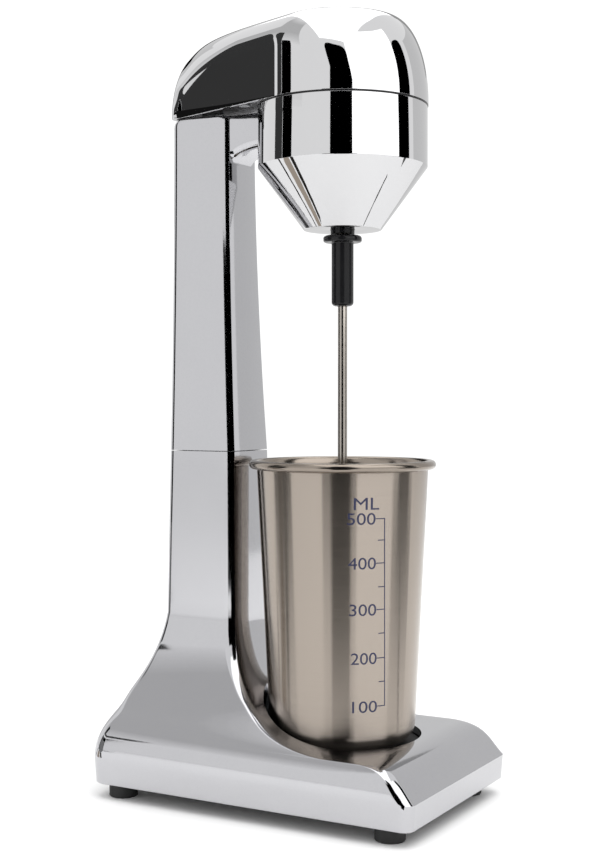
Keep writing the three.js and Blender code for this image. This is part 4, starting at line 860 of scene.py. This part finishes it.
# Motor housing, with the gasket and the seal
housing_profile = rounded(
    [(HOUSING_BORE, CONE_BOTTOM + HOUSING_FLOOR), (HOUSING_BORE, CONE_BOTTOM), (DISC_RADIUS, CONE_BOTTOM),
     (HOUSING_RADIUS, CONE_TOP), (HOUSING_RADIUS, HOUSING_TOP), (HOUSING_INNER, HOUSING_TOP),
     (HOUSING_INNER, LIP_TOP), (LIP_INNER, LIP_TOP), (LIP_INNER, HOUSING_TOP - LIP_DEPTH),
     (HOUSING_INNER, HOUSING_TOP - LIP_ROOT), (HOUSING_INNER, CONE_TOP),
     (CONE_INNER, CONE_BOTTOM + HOUSING_FLOOR), (HOUSING_BORE, CONE_BOTTOM + HOUSING_FLOOR)],
    [0.2, 0.5, 0.5, 0.25, 0, 0.3, 0.3, 0, 0, 0, 0])
housing = mesh_object("head_housing", turned(housing_profile, LARGE_SIDES))
settle(housing, "head", FINISHES["mirror_chrome"], ["motor_housing"])

gasket_profile = [
    (GASKET_INNER, GASKET_LOW), (GASKET_BEVEL[0], GASKET_LOW), (GASKET_OUTER, GASKET_BEVEL[1]),
    (GASKET_OUTER, GASKET_HIGH), (GASKET_INNER, GASKET_HIGH), (GASKET_INNER, GASKET_LOW)]
gasket = mesh_object("seam_gasket", turned(gasket_profile, LARGE_SIDES))
settle(gasket, "head", FINISHES["black_gloss"])

seal_profile = rounded(
    [(SEAL_BORE, SEAL_LOW), (SEAL_RADIUS, SEAL_LOW), (SEAL_RADIUS, SEAL_FLANGE_LOW),
     (SEAL_FLANGE_RADIUS, SEAL_FLANGE_LOW), (SEAL_FLANGE_RADIUS, SEAL_HIGH), (SEAL_BORE, SEAL_HIGH),
     (SEAL_BORE, SEAL_LOW)],
    [0.4, 0, 0.3, 0.3, 0.2])
seal = mesh_object("seal_collar", turned(seal_profile, SLEEVE_SIDES))
settle(seal, "head", FINISHES["black_gloss"], ["shaft_seal"])

# Spindle below the head
sleeve_profile = rounded(
    [(SLEEVE_BORE, SLEEVE_LOW), (SLEEVE_RADIUS, SLEEVE_LOW), (SLEEVE_RADIUS, SLEEVE_FLANGE_LOW),
     (SLEEVE_FLANGE_RADIUS, SLEEVE_FLANGE_LOW), (SLEEVE_FLANGE_RADIUS, SLEEVE_HIGH),
     (SLEEVE_SHAFT_BORE, SLEEVE_HIGH), (SLEEVE_SHAFT_BORE, SLEEVE_SHAFT_LOW),
     (SLEEVE_BORE, SLEEVE_SHAFT_LOW), (SLEEVE_BORE, SLEEVE_LOW)],
    [2.0, 0.8, 1.2, 1.4, 0.3, 0, 0], SLEEVE_ROUND_STEPS)
sleeve = mesh_object("sleeve_body", turned(sleeve_profile, SLEEVE_SIDES))
settle(sleeve, "spindle", FINISHES["black_gloss"], ["drive_sleeve"])

rod_profile = rounded([(0, ROD_LOW), (ROD_RADIUS, ROD_LOW), (ROD_RADIUS, ROD_HIGH), (0, ROD_HIGH)],
                      [ROD_ROUND, ROD_ROUND])
rod = mesh_object("rod_body", turned(rod_profile, ROD_SIDES))
settle(rod, "spindle", FINISHES["polished_steel"], ["mixing_rod"])

# Cup
cup_slope = (CUP_TOP_RADIUS - CUP_FLOOR_RADIUS) / (RIM_HEIGHT - CUP_BOTTOM)


def cup_radius(z):
    return CUP_FLOOR_RADIUS + cup_slope * (z - CUP_BOTTOM)


floor_edge = CUP_FLOOR_RADIUS + cup_slope * CUP_ROUND
floor_round = (floor_edge - CUP_ROUND, CUP_BOTTOM + CUP_ROUND)
bead_start = RIM_HEIGHT - RIM_BEAD
wall_top = cup_radius(bead_start)
cup_profile = [(0, CUP_BOTTOM)] + arc(*floor_round, CUP_ROUND, -90, 0, CUP_ROUND_STEPS)
cup_profile += [(lerp(floor_edge, wall_top, i / CUP_WALL_STEPS),
                 lerp(CUP_BOTTOM + CUP_ROUND, bead_start, i / CUP_WALL_STEPS))
                for i in range(1, CUP_WALL_STEPS + 1)]
cup_profile += [(wall_top - CUP_WALL, bead_start)]
cup_profile += arc(*floor_round, CUP_ROUND - CUP_WALL, 0, -90, CUP_INNER_STEPS)
cup_profile += [(0, CUP_BOTTOM + CUP_WALL)]
cup = mesh_object("cup_body", turned(cup_profile, LARGE_SIDES))
settle(cup, "cup", FINISHES["cup_steel"], ["cup"])

rim_profile = [(wall_top - CUP_WALL, bead_start - RIM_LAP), (wall_top + RIM_PROUD, bead_start - RIM_LAP)]
rim_profile += arc(RIM_RADIUS - RIM_BEAD, RIM_HEIGHT, RIM_BEAD, *RIM_TURN, RIM_STEPS)
rim_profile += [(wall_top - RIM_INSIDE, bead_start + RIM_INSIDE_HIGH),
                (wall_top - RIM_INSIDE, bead_start - RIM_LAP)]
rim = mesh_object("cup_rim", turned(rim_profile, LARGE_SIDES))
settle(rim, "cup", FINISHES["rim_steel"], crease=RIM_CREASE)


def bend_on_cup(mesh, centre, height):
    """Wraps a flat mesh of (across, up, thick) round the cup, at an angle from the front."""
    for vert in mesh.vertices:
        across, up, thick = vert.co
        z = height + up
        radius = cup_radius(z) + TEXT_LIFT + thick
        angle = math.radians(centre) + across / cup_radius(height)
        vert.co = (radius * math.sin(angle), -radius * math.cos(angle), z)


def cup_text(name, words, start, end, low, high):
    """Plain lettering between two angles and two heights on the cup."""
    curve = bpy.data.curves.new(name, "FONT")
    curve.body = words
    curve.size = TEXT_SIZE
    curve.extrude = TEXT_THICK
    curve.resolution_u = TEXT_STEPS
    holder = linked(name, curve)
    mesh = evaluated_mesh(holder)
    bpy.data.objects.remove(holder)
    xs = [vert.co.x for vert in mesh.vertices]
    ys = [vert.co.y for vert in mesh.vertices]
    middle = (low + high) / 2
    width = math.radians(end - start) * cup_radius(middle)
    for vert in mesh.vertices:
        vert.co.x = ((vert.co.x - min(xs)) / (max(xs) - min(xs)) - 0.5) * width
        vert.co.y = ((vert.co.y - min(ys)) / (max(ys) - min(ys)) - 0.5) * (high - low)
    bend_on_cup(mesh, (start + end) / 2, middle)
    settle(linked(name, mesh), "cup", FINISHES["scale_ink"], crease=INK_CREASE)


def line_angle(z):
    """Bearing of the scale's upright line at a height, in degrees from the front."""
    for (_, high, first), (_, low, last) in zip(SCALE_MARKS, SCALE_MARKS[1:]):
        if z >= low:
            return lerp(last, first, (z - low) / (high - low))
    return SCALE_MARKS[-1][2]


def ink_strip(bm, ends, steps):
    """A raised strip on the cup between two (low angle, high angle, low z, high z) ends."""
    rings = []
    for i in range(steps + 1):
        a0, a1, z0, z1 = [lerp(p, q, i / steps) for p, q in zip(*ends)]
        ring = []
        corners = ((a0, z0, INK_LOW), (a1, z1, INK_LOW), (a1, z1, INK_HIGH), (a0, z0, INK_HIGH))
        for angle, z, depth in corners:
            turn, out = math.radians(angle), cup_radius(z) + depth
            ring.append((out * math.sin(turn), -out * math.cos(turn), z))
        rings.append(ring)
    mesh = bpy.data.meshes.new("strip")
    piece = loft(rings)
    piece.to_mesh(mesh)
    piece.free()
    bm.from_mesh(mesh)
    bpy.data.meshes.remove(mesh)


scale = bmesh.new()
for z, reach in [(z, LONG_TICK) for _, z, _ in SCALE_MARKS] + [(z, SHORT_TICK) for z in SCALE_HALVES]:
    right = line_angle(z)
    ink_strip(scale, ((right - reach, right - reach, z - STROKE, z + STROKE),
                      (right, right, z - STROKE, z + STROKE)), TICK_STEPS)
half_stroke = math.degrees(STROKE / SCALE_RADIUS)
for (_, high, first), (_, low, last) in zip(SCALE_MARKS, SCALE_MARKS[1:]):
    ink_strip(scale, ((last - half_stroke, last + half_stroke, low - STROKE, low - STROKE),
                      (first - half_stroke, first + half_stroke, high + STROKE, high + STROKE)), LINE_STEPS)
settle(mesh_object("cup_scale", scale), "cup", FINISHES["scale_ink"], crease=INK_CREASE)
for words, z, _ in SCALE_MARKS:
    last = line_angle(z) - NUMBER_GAP
    cup_text(f"cup_number_{words}", words, last - NUMBER_WIDTH, last, z - NUMBER_HALF, z + NUMBER_HALF)
cup_text("cup_unit", "ML", *UNIT_PLACE)

# Feet
foot_profile = rounded(
    [(FOOT_RECESS, 0), (FOOT_RADIUS, 0), (FOOT_RADIUS, FOOT_TOP), (FOOT_HOLE, FOOT_TOP),
     (FOOT_HOLE, FOOT_RECESS_TOP), (FOOT_RECESS, FOOT_RECESS_TOP), (FOOT_RECESS, 0)],
    [0.9, 0.3, 0, 0, 0])
for name, at in FOOT_PLACES.items():
    foot = mesh_object(f"rubber_foot_{name}", turned(foot_profile, FOOT_SIDES, at))
    settle(foot, "stand", FINISHES["black_rubber"], [f"foot_{name}"])

# Studio: pale floor, plain white surroundings, and cards that only reflections see. Bearings are
# degrees from +y towards -x about the spindle axis.
WHITE = tone(1, 1, 1)
LEAST_SWEEP_STEPS = 12
# Cards: (name, first bearing, last bearing, bottom, top, distance, glow, round of the top corners)
UPPER_CARDS = [
    ("card_back", 303, 334, 420, 950, 1200, 0.0, 0),
    ("card_crest", 272, 303, 660, 1300, 1200, 0.38, 0),
    ("card_left", 30, 46, 0, 2150, 6000, 0.0, 0),
    ("card_dim", 15, 29.5, 0, 2150, 6000, 0.05, 0),
    ("card_left_high", 30, 46, 950, 1120, 2300, 0.0, 0),
    ("card_dim_high", 15, 29.5, 950, 1850, 2300, 0.05, 0)]
LOWER_CARDS = [
    ("card_left_low", 22, 40, 0, 112, 450, 0.28, 0),
    ("card_right_grey", 226, 345, 0, 1250, 1300, 0.8, 0),
    ("card_camera", 102, 130, 0, 650, 450, 0.0, 60),
    ("card_column", 92, 136, 60, 345, 445, 0.0, 0),
    ("softbox_front", 130, 195, 300, 900, 450, 2.2, 0),
    ("softbox_front_low", 130, 187, 0, 115, 450, 1.35, 0),
    ("card_right", 195, 214, 115, 700, 450, 0.0, 60),
    ("card_right_low", 187, 222, 0, 112, 450, 0.14, 0)]
# A wall of grey bands, brightest at its foot and its top
GREY_BANDS = 24
GREY_LOW = 1010
GREY_HEIGHT = 4200
GREY_SPREAD = 1.5
GREY_BEARINGS = (0, 62)
GREY_DISTANCE = 2400
GREY_GLOW = 0.68
GREY_GAIN = 0.42
GREY_FOOT_BANDS = 9
GREY_TOP_FROM = 17
# Low sheets that carry dark and warm tones on across the floor, for the reflections in the cup and
# the cone: (name, first bearing, last bearing, near, far, colour)
FLOOR_SHEETS = [
    ("sheet_camera", 104, 128, 240, 450, (0, 0, 0)),
    ("sheet_line", 205, 207, 130, 330, (0.02, 0.02, 0.02)),
    ("sheet_streak", 31, 36, 215, 430, (0.03, 0.028, 0.025)),
    ("sheet_tan", 19, 29, 215, 430, (0.5, 0.43, 0.36)),
    ("sheet_thin", 11, 13.5, 215, 600, (0.02, 0.02, 0.02)),
    ("sheet_far", 15, 46, 640, 6000, (0.01, 0.01, 0.01))]
SHEET_Z = 1
OVERHEAD_HALF = 470
OVERHEAD_BACK = -2140
OVERHEAD_FRONT = 1190
OVERHEAD_BEARING = 118
OVERHEAD_Z = 1350
OVERHEAD_GLOW = 2.2
FLOOR_HALF = 12000
FLOOR_TONE = 0.95
FLOOR_ROUGHNESS = 0.9
WORLD_GLOW = 1.1


def reflected(name, bm, color, strength):
    """A glowing piece of the studio that only reflections see."""
    obj = mesh_object(name, bm)
    obj.data.transform(TO_FRAME)
    material = bpy.data.materials.new(name)
    material.use_nodes = True
    tree = material.node_tree
    tree.nodes.clear()
    glow = add(tree, "ShaderNodeEmission", values={"Color": color, "Strength": strength})
    wire(tree, (glow, 0, add(tree, "ShaderNodeOutputMaterial"), "Surface"))
    obj.data.materials.append(material)
    for ray in ("camera", "diffuse", "transmission", "volume_scatter", "shadow"):
        setattr(obj, f"visible_{ray}", False)


def at_bearing(bearing, distance, z):
    angle = math.radians(bearing)
    return Vector((-math.sin(angle) * distance, math.cos(angle) * distance, z))


def swept(ends, angle, steps):
    """A strip that a line between two places leaves as it turns about the spindle axis."""
    bm = bmesh.new()
    verts = [bm.verts.new(place) for place in ends]
    bmesh.ops.spin(bm, geom=verts + [bm.edges.new(verts)], cent=(0, 0, 0), axis=(0, 0, 1),
                   angle=math.radians(angle), steps=steps, use_merge=False)
    return bm


def card(name, start, end, bottom, top, distance, glow, corner):
    """A curved upright card between two bearings."""
    steps = max(int(end - start), LEAST_SWEEP_STEPS)
    bm = swept([at_bearing(start, distance, z) for z in (bottom, top)], end - start, steps)
    for vert in bm.verts:
        if corner and vert.co.z > bottom:
            bearing = math.degrees(math.atan2(-vert.co.x, vert.co.y)) % 360
            near = math.radians(min(bearing - start, end - bearing)) * distance
            inside = max(corner - max(near, 0), 0)
            vert.co.z -= corner - math.sqrt(max(corner ** 2 - inside ** 2, 0))
    reflected(name, bm, WHITE, glow)


def grey_z(i):
    return GREY_LOW + GREY_HEIGHT * (i / GREY_BANDS) ** GREY_SPREAD


for row in UPPER_CARDS:
    card(*row)
for i in range(GREY_BANDS):
    foot_share = max(1 - i / GREY_FOOT_BANDS, 0)
    top_share = max((i - GREY_TOP_FROM) / (GREY_BANDS - GREY_TOP_FROM), 0)
    card(f"card_grey_{i}", *GREY_BEARINGS, grey_z(i), grey_z(i + 1), GREY_DISTANCE,
         GREY_GLOW + GREY_GAIN * foot_share + GREY_GAIN * top_share, 0)
for row in LOWER_CARDS:
    card(*row)
for name, start, end, near, far, color in FLOOR_SHEETS:
    ends = [at_bearing(start, distance, SHEET_Z) for distance in (near, far)]
    reflected(name, swept(ends, end - start, LEAST_SWEEP_STEPS), tone(*color), 1.0)

overhead = bmesh.new()
bmesh.ops.create_grid(overhead, x_segments=1, y_segments=1, size=1)
way = math.radians(OVERHEAD_BEARING)
for vert in overhead.verts:
    aside = vert.co.x * OVERHEAD_HALF
    along = lerp(OVERHEAD_BACK, OVERHEAD_FRONT, vert.co.y * 0.5 + 0.5)
    vert.co = (-math.sin(way) * along + math.cos(way) * aside,
               math.cos(way) * along + math.sin(way) * aside, OVERHEAD_Z)
reflected("softbox_overhead", overhead, WHITE, OVERHEAD_GLOW)

floor_mesh = bmesh.new()
bmesh.ops.create_grid(floor_mesh, x_segments=1, y_segments=1, size=FLOOR_HALF)
ground = mesh_object("floor", floor_mesh)
ground.data.transform(Matrix.Scale(MM, 4))
paper = bpy.data.materials.new("floor_paper")
paper.use_nodes = True
paper_shader = paper.node_tree.nodes["Principled BSDF"]
paper_shader.inputs["Base Color"].default_value = tone(FLOOR_TONE, FLOOR_TONE, FLOOR_TONE)
paper_shader.inputs["Roughness"].default_value = FLOOR_ROUGHNESS
paper_shader.inputs["Specular IOR Level"].default_value = 0.0
ground.data.materials.append(paper)

world = bpy.data.worlds.new("studio")
bpy.context.scene.world = world
world.use_nodes = True
surroundings = world.node_tree.nodes["Background"]
surroundings.inputs["Color"].default_value = WHITE
surroundings.inputs["Strength"].default_value = WORLD_GLOW

# Key light and camera, in metres; the camera's place and angles were solved from the photo
KEY_PLACE = (-0.3, -0.5, 1.6)
KEY_AIM = (0.3, 0.5, -1.5)
CAMERA_PLACE = (-0.6122, -0.324 + SPINDLE_Y * MM, 0.1956)
CAMERA_PITCH = -1.129
CAMERA_YAW = -60.414

key = bpy.data.lights.new("key", "AREA")
key.shape = "SQUARE"
key.size = 1.6
key.energy = 14
key_light = bpy.data.objects.new("key", key)
key_light.location = KEY_PLACE
key_light.rotation_euler = Vector(KEY_AIM).to_track_quat("-Z", "Y").to_euler()
key_light.visible_glossy = False
bpy.context.scene.collection.objects.link(key_light)

view = bpy.data.cameras.new("view")
view.lens = 60.52
view.sensor_width = 36
view.clip_start = 0.01
view.clip_end = 60
camera = linked("view", view)
camera.location = CAMERA_PLACE
camera.rotation_euler = (math.radians(90 + CAMERA_PITCH), 0, math.radians(CAMERA_YAW))
bpy.context.scene.camera = camera
bpy.context.scene.view_settings.view_transform = "Standard"
